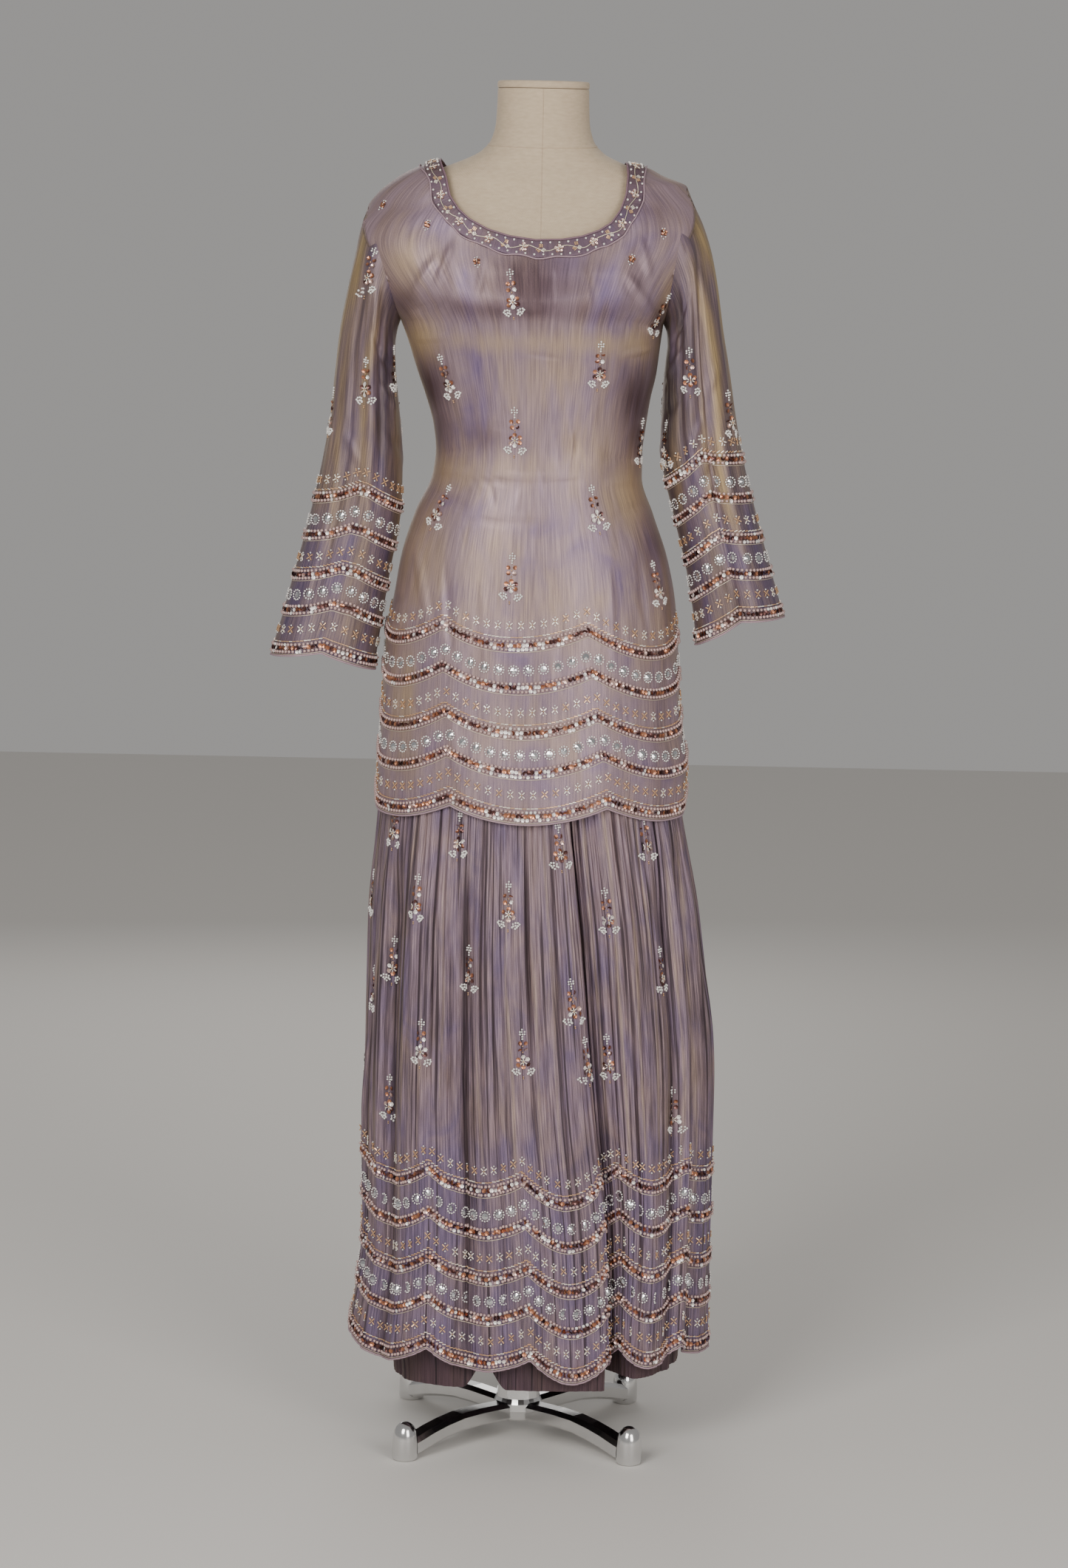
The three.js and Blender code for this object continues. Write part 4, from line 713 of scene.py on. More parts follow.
def cloth_object(name, grid, closed, material, tones=None, uv=None):
    """A cloth from a grid of points; tones holds how gold, dark and violet the silk is at each point, the
    gold partly a painted sheen and the dark a painted shade.
    """
    plain = np.zeros(grid.shape[:2])
    values = {key: (tones or {}).get(key, plain) for key in ("gold", "dark", "violet")}
    if closed:
        grid = np.concatenate([grid, grid[:, :1]], axis=1)
        values = {key: np.concatenate([v, v[:, :1]], axis=1) for key, v in values.items()}
    uv = (grid_uv(grid) if uv is None else uv).reshape(-1, 2)
    return new_mesh(name, grid, grid_faces(*grid.shape[:2], False), material, uv=uv, values=values)


def patches(x, z, table):
    """How strong a tone is, from a table of soft round patches."""
    total = np.zeros(np.shape(x))
    for cx, cz, half_x, half_z, strength in table:
        total = np.maximum(total, strength * np.exp(-((x - cx) / half_x) ** 2 - ((z - cz) / half_z) ** 2))
    return total


# Materials
def new_material(name):
    mat = bpy.data.materials.new(name)
    mat.use_nodes = True
    return mat, mat.node_tree, mat.node_tree.nodes["Principled BSDF"]


def plug(tree, socket, value):
    """Sets a socket to a number or a colour, or links another node's output to it."""
    if isinstance(value, tuple):
        socket.default_value = (*value, 1)
    elif isinstance(value, (int, float)):
        socket.default_value = value
    else:
        tree.links.new(value, socket)


def colour_mix(tree, factor, first, second, blend="MIX"):
    node = tree.nodes.new("ShaderNodeMix")
    node.data_type, node.blend_type = "RGBA", blend
    for k, value in ((0, factor), (6, first), (7, second)):
        plug(tree, node.inputs[k], value)
    return node.outputs[2]


def maths(tree, operation, *values):
    node = tree.nodes.new("ShaderNodeMath")
    node.operation = operation
    for socket, value in zip(node.inputs, values):
        plug(tree, socket, value)
    return node.outputs[0]


def swung(tree, value, swing, middle=0.0):
    """A pattern's value from 0 to 1, spread by a swing round a middle."""
    return maths(tree, "MULTIPLY_ADD", value, swing, middle - 0.5 * swing)


def clamped(tree, value):
    node = tree.nodes.new("ShaderNodeClamp")
    tree.links.new(value, node.inputs[0])
    return node.outputs[0]


def kept_tone(tree, key):
    """A tone kept with the cloth's points."""
    node = tree.nodes.new("ShaderNodeAttribute")
    node.attribute_name = key
    return node.outputs["Fac"]


def noise(tree, vector, stretch, detail=3.0, distortion=0.0):
    """A noise pattern; stretch is its waves to a metre along each direction."""
    mapping = tree.nodes.new("ShaderNodeMapping")
    mapping.inputs["Scale"].default_value = stretch
    tree.links.new(vector, mapping.inputs["Vector"])
    node = tree.nodes.new("ShaderNodeTexNoise")
    node.inputs["Scale"].default_value = 1.0
    node.inputs["Detail"].default_value = detail
    node.inputs["Distortion"].default_value = distortion
    tree.links.new(mapping.outputs[0], node.inputs["Vector"])
    return node.outputs[0]


def add_bump(tree, shader, height, strength, distance, before=None):
    node = tree.nodes.new("ShaderNodeBump")
    node.inputs["Strength"].default_value = strength
    node.inputs["Distance"].default_value = distance
    tree.links.new(height, node.inputs["Height"])
    if before is not None:
        tree.links.new(before, node.inputs["Normal"])
    tree.links.new(node.outputs[0], shader.inputs["Normal"])
    return node.outputs[0]


def set_surface(shader, **values):
    """Sets the shader's own sockets, named with _ for a blank."""
    for key, value in values.items():
        shader.inputs[key.replace("_", " ")].default_value = value


# The silk's patterns: waves to a metre across and along the cloth
SLUBS, BROAD, BLOTCH, WEAVE = (620, 20, 1), (34, 9, 1), (16, 12, 1), (1500, 1300, 1)
CREASE_SHADE_WAVES, RIBS, RIDGES, SOFT_FOLDS = (210, 2.0, 1), (900, 120, 1), (330, 7, 1), (70, 20, 1)


def silk_colour(tree, where, colours, streak, grain):
    """Four named tones, with streaks down the cloth and a fine two-coloured weave; the kept dark tone is
    painted shade and the kept gold tone a painted gold sheen.
    """
    middle, violet, dark, gold = colours
    slubs, weave = noise(tree, where, SLUBS), noise(tree, where, WEAVE, 1.0)
    broad, blotch = noise(tree, where, BROAD, 3.0, 0.6), noise(tree, where, BLOTCH, 3.0, 1.2)
    purple = clamped(tree, maths(tree, "ADD", kept_tone(tree, "violet"), swung(tree, blotch, 2.4)))
    # Painted shade from the kept dark tone, with a broad random mottle
    shadow = clamped(tree, maths(tree, "ADD", kept_tone(tree, "dark"), swung(tree, broad, 1.3)))
    colour = colour_mix(tree, shadow, colour_mix(tree, purple, middle, violet), dark)
    shine = maths(tree, "ADD", swung(tree, slubs, 2.4 * streak), swung(tree, weave, grain))
    shine = maths(tree, "ADD", shine, swung(tree, broad, 1.2, 0.04))
    shine = maths(tree, "MULTIPLY", shine, maths(tree, "MULTIPLY_ADD", shadow, -0.75, 1.0))
    # Painted gold sheen from the kept gold tone, with the weave's random gold flecks, which are fewer where
    # shade is painted
    glint = clamped(tree, maths(tree, "ADD", kept_tone(tree, "gold"), shine))
    light = maths(tree, "ADD", swung(tree, slubs, 6 * streak, 1.0), swung(tree, weave, 1.3 * grain))
    return colour_mix(tree, 1.0, colour_mix(tree, glint, colour, gold), light, "MULTIPLY")


def silk_material(name, colours, streak, crinkle, rough, grain=0.5):
    """Shot tissue silk, smooth or with crinkles and thin dark lines between them; the lines are painted
    shade in the creases.
    """
    mat, tree, shader = new_material(name)
    uv = tree.nodes.new("ShaderNodeUVMap")
    uv.uv_map = "cloth"
    where = uv.outputs[0]
    colour = silk_colour(tree, where, colours, streak, grain)
    ribs = add_bump(tree, shader, noise(tree, where, RIBS, 2.0), 0.14, 0.0004)
    if crinkle:
        # Thin dark lines: painted shade in the fine creases of the crinkled silk
        crease_pattern = noise(tree, where, CREASE_SHADE_WAVES, 2.0, 0.1)
        lines = maths(tree, "MULTIPLY", clamped(tree, maths(tree, "MULTIPLY_ADD", crease_pattern, -17.0, 7.2)), 0.85)
        colour = colour_mix(tree, lines, colour, tuple(0.6 * c for c in colours[2]))
        add_bump(tree, shader, noise(tree, where, RIDGES, 3.0, 0.3), crinkle, 0.0018, ribs)
    else:
        add_bump(tree, shader, noise(tree, where, SOFT_FOLDS, 3.0, 0.9), 0.16, 0.0022, ribs)
    tree.links.new(colour, shader.inputs["Base Color"])
    set_surface(shader, Roughness=rough, Metallic=0.4, Specular_IOR_Level=0.4, Sheen_Weight=0.2,
                Sheen_Roughness=0.35, Sheen_Tint=(0.75, 0.58, 0.34, 1))
    return mat


def plain_material(name, colour, rough, metal=0.0, grain=None, coat=0.0):
    """One colour; grain gives waves to a metre, strength, depth and spread of a faint mottle."""
    mat, tree, shader = new_material(name)
    set_surface(shader, Base_Color=(*colour, 1), Roughness=rough, Metallic=metal, Coat_Weight=coat)
    if grain:
        where = tree.nodes.new("ShaderNodeTexCoord").outputs["Object"]
        waves, strength, distance, spread = grain
        value = noise(tree, where, (waves,) * 3)
        add_bump(tree, shader, value, strength, distance)
        dark = tuple(c * (1 - spread) for c in colour)
        light = tuple(min(1.0, c * (1 + spread)) for c in colour)
        tree.links.new(colour_mix(tree, value, dark, light), shader.inputs["Base Color"])
    return mat


def linen_material():
    """A plain linen weave, its warp set by the turn round the form and its weft by height."""
    mat, tree, shader = new_material("linen_cover")
    where = tree.nodes.new("ShaderNodeTexCoord").outputs["Object"]
    split = tree.nodes.new("ShaderNodeSeparateXYZ")
    tree.links.new(where, split.inputs[0])
    turn = maths(tree, "ARCTAN2", split.outputs[1], split.outputs[0])
    warp = maths(tree, "SINE", maths(tree, "MULTIPLY", turn, 230.0))
    weft = maths(tree, "SINE", maths(tree, "MULTIPLY", split.outputs[2], 4200.0))
    weave = maths(tree, "MULTIPLY", maths(tree, "MULTIPLY", warp, weft), 0.16)
    slub = maths(tree, "MULTIPLY_ADD", noise(tree, where, (120, 120, 360)), 0.9, 0.05)
    thread = maths(tree, "ADD", weave, slub)
    colour = colour_mix(tree, thread, (0.43, 0.33, 0.22), (0.62, 0.50, 0.36))
    tree.links.new(colour, shader.inputs["Base Color"])
    set_surface(shader, Roughness=0.85, Sheen_Weight=0.2)
    add_bump(tree, shader, thread, 0.35, 0.0006)
    return mat


# Silks: colours of the middle, violet, dark and gold tones, streak, crinkle, roughness, grain; the dark
# colour is that of painted shade, and the gold colour is both the gold weft's own and that of a painted
# sheen
SILK = silk_material("shot_silk", (
    (0.285, 0.205, 0.235), (0.175, 0.125, 0.235), (0.080, 0.046, 0.060), (0.44, 0.315, 0.19)),
    0.2, 0.0, 0.44, 0.6)
# The sleeves' silk is the kurti's shot silk made darker all over: painted shade on the sleeves at the sides
SHADED_SLEEVE_SILK = silk_material("sleeve_silk_painted_shade", (
    (0.185, 0.130, 0.150), (0.120, 0.088, 0.155), (0.045, 0.033, 0.038), (0.33, 0.235, 0.12)),
    0.26, 0.0, 0.46, 0.6)
CRINKLED = silk_material("crinkled_silk", (
    (0.270, 0.190, 0.210), (0.165, 0.122, 0.205), (0.060, 0.038, 0.050), (0.36, 0.265, 0.20)),
    0.36, 1.0, 0.5, 0.6)
LINING_CLOTH = silk_material("lining_silk", (
    (0.085, 0.050, 0.062), (0.070, 0.048, 0.075), (0.034, 0.022, 0.028), (0.12, 0.08, 0.055)),
    0.2, 0.8, 0.6)
BAND_SATIN = silk_material("band_satin", (
    (0.135, 0.088, 0.12), (0.11, 0.078, 0.14), (0.07, 0.045, 0.06), (0.24, 0.165, 0.12)), 0.15, 0.0, 0.5)
YOKE_SILK = plain_material("yoke_silk", (0.205, 0.15, 0.21), 0.5, 0.2, (300.0, 0.3, 0.0006, 0.15))
LINEN = linen_material()
ALUMINIUM = plain_material("polished_aluminium", (0.72, 0.72, 0.72), 0.16, 1.0, (60.0, 0.05, 0.001, 0.08))
STEEL = plain_material("polished_steel", (0.66, 0.66, 0.67), 0.14, 1.0, (90.0, 0.03, 0.0005, 0.06))
ZARI = plain_material("zari_thread", (0.60, 0.50, 0.41), 0.4, 0.5, (900.0, 0.4, 0.0004, 0.3))
SILVER_THREAD = plain_material("silver_thread", (0.78, 0.68, 0.54), 0.35, 0.6)
COPPER_ZARI = plain_material("copper_thread", (0.52, 0.28, 0.19), 0.35, 0.8, (900.0, 0.4, 0.0004, 0.3))
DARK_PIPING = plain_material("band_piping", (0.21, 0.125, 0.16), 0.5, 0.1, (700.0, 0.4, 0.0005, 0.2))
MAUVE_THREAD = plain_material("piping_thread", (0.36, 0.25, 0.29), 0.5, 0.1, (700.0, 0.4, 0.0005, 0.2))

# Finishes of sewn-on items: material name, colour, roughness, metal, coat, slot
FINISHES = {
    "rose": ("rose_sequin", (0.68, 0.47, 0.42), 0.28, 1.0, 0.0, "sequins"),
    # Painted highlight: near-white sequins stand in for sequins that flash
    "bright": ("bright_sequin", (0.95, 0.90, 0.87), 0.4, 0.6, 0.0, "sequins"),
    "copper": ("copper_sequin", (0.50, 0.225, 0.135), 0.3, 1.0, 0.0, "copper_sequins"),
    "dark": ("dark_sequin", (0.13, 0.06, 0.055), 0.25, 0.9, 0.0, "copper_sequins"),
    "pink": ("rose_bead", (0.56, 0.39, 0.37), 0.2, 0.25, 0.6, "rose_beads"),
    "white": ("white_bead", (0.82, 0.80, 0.77), 0.2, 0.0, 0.6, "beads"),
    "pearl": ("pearl", (0.86, 0.82, 0.78), 0.18, 0.0, 0.8, "beads"),
    "glass": ("mirror", (0.70, 0.71, 0.73), 0.1, 1.0, 0.0, "mirrors"),
    "gilt": ("copper_bugle", (0.72, 0.46, 0.27), 0.3, 0.45, 0.0, "bugles"),
    "silver": ("silver_bugle", (0.93, 0.86, 0.75), 0.3, 0.25, 0.0, "bugles"),
}
SEWN = {key: (plain_material(*row[:4], coat=row[4]), row[5]) for key, row in FINISHES.items()}


# Shapes of one bead, sequin, mirror and bugle, with half sizes of 1
def octahedron():
    v = np.array([[1, 0, 0], [0, 1, 0], [-1, 0, 0], [0, -1, 0], [0, 0, 1], [0, 0, -1]], float)
    f = [[0, 1, 4], [1, 2, 4], [2, 3, 4], [3, 0, 4], [1, 0, 5], [2, 1, 5], [3, 2, 5], [0, 3, 5]]
    return v, np.array(f)


def ball():
    bm = bmesh.new()
    bmesh.ops.create_icosphere(bm, subdivisions=1, radius=1.0)
    v = np.array([p.co[:] for p in bm.verts])
    f = np.array([[p.index for p in face.verts] for face in bm.faces])
    bm.free()
    return v, f


def disc(sides, dish, rim=0.0):
    """A shallow cone or dish: height of its middle and of its rim."""
    turn = np.arange(sides) * 2 * np.pi / sides
    v = np.stack([np.cos(turn), np.sin(turn), np.full(sides, rim)], -1)
    f = [[i, (i + 1) % sides, sides] for i in range(sides)]
    return np.concatenate([v, [[0, 0, dish]]]), np.array(f)


def bugle():
    """A short straight tube bead, 2 long and 2 across."""
    turn = np.arange(4) * np.pi / 2 + np.pi / 4
    ring = np.stack([np.cos(turn), np.sin(turn)], -1)
    v = np.concatenate([np.column_stack([np.full(4, end), ring]) for end in (-1.0, 1.0)])
    f = [[0, 1, 5], [0, 5, 4], [1, 2, 6], [1, 6, 5], [2, 3, 7], [2, 7, 6], [3, 0, 4], [3, 4, 7],
         [0, 2, 1], [0, 3, 2], [4, 5, 6], [4, 6, 7]]
    return v, np.array(f)


SHAPES = {"bead": octahedron(), "pearl": ball(), "sequin": disc(6, -0.22, 0.08),
          "mirror": disc(8, 0.3), "bugle": bugle()}


class Tray:
    """Items collected for one region, kind by kind, then made into one mesh for each kind and finish."""

    def __init__(self, name):
        self.name = name
        self.items = {}

    def add(self, kind, finish, centre, across, normal, size, tilt=0.0, lift=0.0):
        """Adds items at their centres; size is a radius or three half sizes, tilt a random lean."""
        count = len(centre)
        if not count:
            return
        if tilt:
            normal = normal + RNG.normal(0, tilt, (count, 3))
        normal = unit(normal)
        across = unit(across - normal * (across * normal).sum(1, keepdims=True))
        size = np.broadcast_to(size, (count, 3)) * RNG.uniform(0.93, 1.07, (count, 1))
        item = (centre + normal * lift, across, np.cross(normal, across), normal, size)
        self.items.setdefault((kind, finish), []).append(item)

    def build(self):
        for (kind, finish), groups in self.items.items():
            centre, a, b, n, size = [np.concatenate(part) for part in zip(*groups)]
            shape, faces = SHAPES[kind]
            local = shape[None] * size[:, None, :]
            points = (centre[:, None] + local[..., :1] * a[:, None] + local[..., 1:2] * b[:, None]
                      + local[..., 2:] * n[:, None])
            index = faces[None] + (np.arange(len(centre)) * len(shape))[:, None, None]
            mat, slot = SEWN[finish]
            round_kind = kind in ("bead", "pearl")
            piece = new_mesh(f"{self.name}_{kind}_{finish}", points, index.reshape(-1, 3), mat, round_kind)
            take_place(piece, slot)


def frames_on(surface, a, b, steps):
    """Points of a surface, their normals, and the direction in which a grows."""
    da = unit(surface(a + steps[0], b) - surface(a - steps[0], b))
    db = unit(surface(a, b + steps[1]) - surface(a, b - steps[1]))
    return surface(a, b), unit(np.cross(da, db)), da


def spaced(points, pitch):
    """Places along a closed path, as indices with fractions, at about an even pitch."""
    length = np.concatenate([[0], np.cumsum(np.linalg.norm(np.diff(points, axis=0), axis=1))])
    count = max(2, int(round(length[-1] / pitch)))
    at = np.linspace(0, length[-1], count, endpoint=False)
    return np.interp(at, length, np.arange(len(points)))


def tube(path, radius, outward, beside, closed):
    """Points and faces of a thin four-sided tube along a path."""
    turns = np.pi / 4 + np.pi / 2 * np.arange(4)
    rings = [path + radius * (outward * math.sin(t) + beside * math.cos(t)) for t in turns]
    return np.stack(rings, 1), tube_faces(len(path), 4, closed)


# Items of a border: radius or half sizes, and pitch
BEAD, BEAD_PITCH = 2.1, 4.8
SEQUIN, SEQUIN_PITCH, SEQUIN_SHARES = 2.9, 4.6, {"copper": 0.5, "dark": 0.36, "rose": 0.14}
MIXED_BEAD, MIXED_SEQUIN, MIXED_PITCH = 2.15, 2.35, 4.7
DASH, DASH_PITCH = (2.0, 0.65, 0.65), 4.5
STAR_BUGLE, STAR_OUT, STAR_BEAD, STAR_BEAD_UP = (1.8, 0.8, 0.8), 3.0, 1.05, 4.7
RING_BEADS, RING_BEAD, RING_RADIUS, MIRROR = 12, (1.15, 1.15, 1.0), 5.8, 3.9
# Where more items get a painted highlight across the front: middle and half widths for rows and for stars
FLASH_MIDDLE, FLASH_ROWS, FLASH_STARS = -5, 62, 105


class Border:
    """A closed scalloped border: path(h) gives its a and b coordinates at a height above the hem."""

    def __init__(self, tray, surface, path, steps, flash=(0.22, 0.0)):
        self.tray, self.surface, self.path = tray, surface, path
        self.steps, self.flash, self.sign = steps, flash, 1.0

    def places(self, height, pitch):
        """Points, outward normals and directions along the border at one height."""
        a, b = self.path(height)
        at = spaced(self.surface(a, b), pitch)
        index = np.arange(len(a))
        p, n, along = frames_on(self.surface, np.interp(at, index, a), np.interp(at, index, b), self.steps)
        return p, n * self.sign, along

    def face_out(self, height):
        p, n, _ = self.places(height, 20)
        self.sign = outward_sign(p, n)

    def shining(self, p):
        """Which items get a painted highlight, a pale finish where they would flash: neighbours together,
        and more of them low in the front's middle lobe.
        """
        runs = np.repeat(RNG.random(len(p) // 2 + 2), 2)[:len(p)]
        value = 0.4 * runs + 0.6 * RNG.random(len(p))
        middle = np.exp(-((p[:, 0] - FLASH_MIDDLE) / FLASH_ROWS) ** 2) * (p[:, 1] < 0)
        return np.argsort(np.argsort(value)) / len(p) > 1 - self.flash[0] - self.flash[1] * middle

    def sew(self, kind, finish, frames, use, size, tilt, lift):
        """Adds an item at each place that is in use."""
        p, n, along = frames
        self.tray.add(kind, finish, p[use], along[use], n[use], size, tilt, lift)

    def beads(self, height):
        frames = self.places(height, BEAD_PITCH)
        bright = self.shining(frames[0]) & (RNG.random(len(frames[0])) < 0.3)
        # Beads that flash are made white: a painted highlight
        self.sew("pearl", "pink", frames, ~bright, BEAD, 0.0, BEAD * 0.7)
        self.sew("pearl", "white", frames, bright, BEAD, 0.0, BEAD * 0.7)

    def sequins(self, height):
        frames = self.places(height, SEQUIN_PITCH)
        bright = self.shining(frames[0])
        pick = RNG.random(len(bright))
        start = 0
        for finish, share in SEQUIN_SHARES.items():
            use = (pick >= start) & (pick < start + share) & ~bright
            self.sew("sequin", finish, frames, use, SEQUIN, 0.3, 1.0)
            start += share
        self.sew("sequin", "bright", frames, bright, SEQUIN * 0.84, 0.2, 1.4)

    def mixed(self, height):
        """The lowest row: rose beads with sequins among them."""
        frames = self.places(height, MIXED_PITCH)
        bright = self.shining(frames[0])
        self.sew("pearl", "pink", frames, ~bright, MIXED_BEAD, 0.0, 1.3)
        self.sew("sequin", "bright", frames, bright, MIXED_SEQUIN, 0.2, 1.4)

    def dashes(self, height):
        frames = self.places(height, DASH_PITCH)
        # Silver bugles where the line flashes, a painted highlight, with some more at random
        bright = self.shining(frames[0]) | (RNG.random(len(frames[0])) < 0.25)
        self.sew("bugle", "gilt", frames, ~bright, DASH, 0.05, 0.9)
        self.sew("bugle", "silver", frames, bright, DASH, 0.05, 0.9)

    def stars(self, height):
        """Crosses of four bugles with a bead above and below."""
        p, n, along = self.places(height, STAR_PITCH)
        up = np.cross(n, along)
        middle = np.exp(-((p[:, 0] - FLASH_MIDDLE) / FLASH_STARS) ** 4) * (p[:, 1] < 0)
        # Silver stars where they flash, a painted highlight, with some more at random and in the front's
        # middle; gilt elsewhere
        silver = self.shining(p) | (RNG.random(len(p)) < 0.15 + self.flash[1] * 1.5 * middle)
        for finish, use in (("silver", silver), ("gilt", ~silver)):
            for k in range(4):
                turn = math.radians(45 + 90 * k)
                out = along * math.cos(turn) + up * math.sin(turn)
                self.sew("bugle", finish, (p + out * STAR_OUT, n, out), use, STAR_BUGLE, 0.1, 1.0)
        for side in (-1, 1):
            self.tray.add("pearl", "white", p + up * STAR_BEAD_UP * side, along, n, STAR_BEAD, 0.0, 0.9)
        self.tray.add("bead", "gilt", p, along, n, 1.0, 0.0, 1.1)

    def rings(self, height):
        """Mirrors, each in a ring of small white beads."""
        p, n, along = self.places(height, RING_PITCH)
        up = np.cross(n, along)
        for k in range(RING_BEADS):
            turn = 2 * np.pi * k / RING_BEADS
            out = along * math.cos(turn) + up * math.sin(turn)
            self.tray.add("pearl", "white", p + out * RING_RADIUS, along, n, RING_BEAD, 0.0, 0.9)
        self.tray.add("mirror", "glass", p, along, n, MIRROR, 0.06, 0.5)

    def line(self, height, radius, thread, name, spacing=3.0, lift=0.0):
        """A couched thread or a piping along the border."""
        p, n, along = self.places(height, spacing)
        points, faces = tube(p + n * (radius * 0.6 + lift), radius, n, np.cross(n, along), True)
        take_place(new_mesh(name, points, faces, thread), "zari")


def sew_border(border, name, scale=1.0):
    """All the rows of a scalloped border above a hem."""
    sew = {"bead": border.beads, "sequin": border.sequins, "mixed": border.mixed, "dash": border.dashes}
    threads = 0
    for kind, height in BORDER:
        top = height * scale
        if kind in ("star", "ring"):
            (border.stars if kind == "star" else border.rings)(top)
            continue
        for item, depth in BAND_ROWS[kind]:
            h = top - depth * scale
            if item == "dash":
                border.line(h, 0.45, COPPER_ZARI, f"{name}_line{threads}", 4.0)
            if item == "thread":
                border.line(h, 0.6, ZARI, f"{name}_thread{threads}", 4.0)
            else:
                sew[item](h)
            threads += 1
    border.line(1.0, 1.3, MAUVE_THREAD, f"{name}_piping")


# A motif: places across and up from its middle
MOTIF_TOP = [(0.3, 28.7), (-2.7, 25.9), (0, 25.9), (3.2, 25.9), (-2.7, 23.1), (0.6, 23.1), (3.0, 23.1),
             (0.3, 20.4), (0.2, 17.6)]
MOTIF_LEAF = [(-3.9, 1.7), (-2.2, 3.4), (0.9, 3.4), (3.4, 2.2), (-2.2, 0), (0.9, 0.2), (3.2, -0.4),
              (-0.9, -1.9), (4.3, -1.7), (1.5, -3.4)]
MOTIF_LEAVES = [(-8.7, -20.4, 1), (8.9, -21.6, -1)]
MOTIF_PAIRS = [(-3.5, 12.7), (3.5, 12.7), (-3.5, 5.6), (3.5, 5.6)]
MOTIF_FLOWER, FLOWER_RADIUS, STALK_RADIUS = (0, -8.9), 6.1, 3.1
MOTIF_DOTS = [(-0.9, -26.6), (-0.9, -28.6), (0, 9.2), (0, 2.2)]
SPRIG_BEADS = [(-1.6, 4.4), (1.4, 4.6), (0, 2.2), (-2.6, -4.6), (2.4, -4.8), (0, -7.2)]


class Ground:
    """The cloth round one place, for laying a motif by lengths across and up."""

    def __init__(self, border, a, b, steps, tilt=0.0, up_sign=1.0):
        self.border, self.steps = border, steps
        self.a, self.b = float(a), float(b)
        a, b = np.array([self.a]), np.array([self.b])
        surface = border.surface
        _, n, _ = frames_on(surface, a, b, steps)
        rate_a = (surface(a + steps[0], b) - surface(a - steps[0], b))[0] / (2 * steps[0])
        rate_b = (surface(a, b + steps[1]) - surface(a, b - steps[1]))[0] / (2 * steps[1])
        up = unit(rate_b) * up_sign
        across = np.cross(up, n[0] * border.sign)
        turn = math.radians(tilt)
        self.across = across * math.cos(turn) + up * math.sin(turn)
        self.up = up * math.cos(turn) - across * math.sin(turn)
        self.solve = np.linalg.pinv(np.stack([rate_a, rate_b], 1))

    def put(self, kind, finish, items, size, tilt=0.0, lift=0.9, turns=0.0):
        """Sews items at places given by lengths, each turned on the cloth."""
        items = np.asarray(items, float)
        step = (items[:, :1] * self.across + items[:, 1:2] * self.up) @ self.solve.T
        p, n, _ = frames_on(self.border.surface, self.a + step[:, 0], self.b + step[:, 1], self.steps)
        turns = np.broadcast_to(turns, len(items))[:, None]
        along = self.across * np.cos(turns) + self.up * np.sin(turns)
        self.border.tray.add(kind, finish, p, along, n * self.border.sign, size, tilt, lift)


def flower_places(centre, radius, count=6):
    turn = np.pi / 2 + 2 * np.pi * np.arange(count) / count
    return np.column_stack([centre[0] + radius * np.cos(turn), centre[1] + radius * np.sin(turn)]), turn


def sew_motif(ground):
    """A tall motif: bead tip, two sequin pairs, a flower and two bead leaves."""
    ground.put("pearl", "white", MOTIF_TOP, 1.25)
    for x, z, side in MOTIF_LEAVES:
        ground.put("pearl", "white", [(x + side * a, z + b) for a, b in MOTIF_LEAF], 1.45)
    last = RNG.choice(["rose", "bright", "dark"])
    ground.put("sequin", "copper", MOTIF_PAIRS[:3], 2.6, 0.3, 1.0)
    ground.put("sequin", last, MOTIF_PAIRS[3:], 2.6, 0.3, 1.0)
    petals, _ = flower_places(MOTIF_FLOWER, FLOWER_RADIUS)
    finishes = RNG.choice(["copper", "rose", "dark", "copper", "bright"], 6)
    for finish in sorted(set(finishes)):
        ground.put("sequin", finish, petals[finishes == finish], 2.75, 0.22, 1.0)
    stalks, turn = flower_places(MOTIF_FLOWER, STALK_RADIUS)
    ground.put("bugle", "silver", stalks, (1.75, 0.6, 0.6), 0.05, 1.9, turn)
    ground.put("pearl", "gilt", [MOTIF_FLOWER], 1.1, 0.0, 2.3)
    ground.put("bead", "gilt", MOTIF_DOTS, 1.1, 0.0, 1.0)


def sew_sprig(ground):
    """A small flower with a few beads round it."""
    petals, _ = flower_places((0, 0), 2.6, 5)
    ground.put("sequin", "copper", petals, 1.9, 0.25, 0.9)
    ground.put("bead", "white", SPRIG_BEADS, 1.2, 0.0, 1.0)
    ground.put("pearl", "gilt", [(0, 0)], 1.0, 0.0, 1.5)


# Kurti
def make_kurti(face, columns, rows):
    """A panel as a grid; the rows right under the neck band, where it would fold back, are left out."""
    armhole_end = SHOULDER_ROWS + ARMHOLE_ROWS
    row = np.concatenate([np.linspace(0, SHOULDER_ROWS, rows[0]),
                          np.linspace(SHOULDER_ROWS + 1, armhole_end, rows[1]),
                          np.linspace(armhole_end, PANEL_ROWS, rows[2])[1:]])
    angle, z = kurti_angle_height(*np.meshgrid(np.linspace(0, 1, columns), row), face)
    grid = kurti_surface(angle, z, face)
    tones = {key: patches(grid[..., 0], grid[..., 2], table) for key, table in TONES_KURTI.items()}
    uv = np.stack([angle / np.pi * KURTI_GIRTH[face], z * MM], -1)
    piece = cloth_object(f"kurti_{face}_cloth", grid, False, SILK, tones, uv)
    take_place(piece, "silk", f"kurti_{face}")
    return piece


def kurti_loop(u, z):
    """A point of the kurti all round: u from 0 to 1 across the front, 1 to 2 across the back."""
    u = np.asarray(u, float) % 2
    front = kurti_surface(np.clip(u, 0, 1) * np.pi, z, "front")
    back = kurti_surface(np.clip(2 - u, 0, 1) * np.pi, z, "back")
    return np.where((u <= 1)[..., None], front, back)


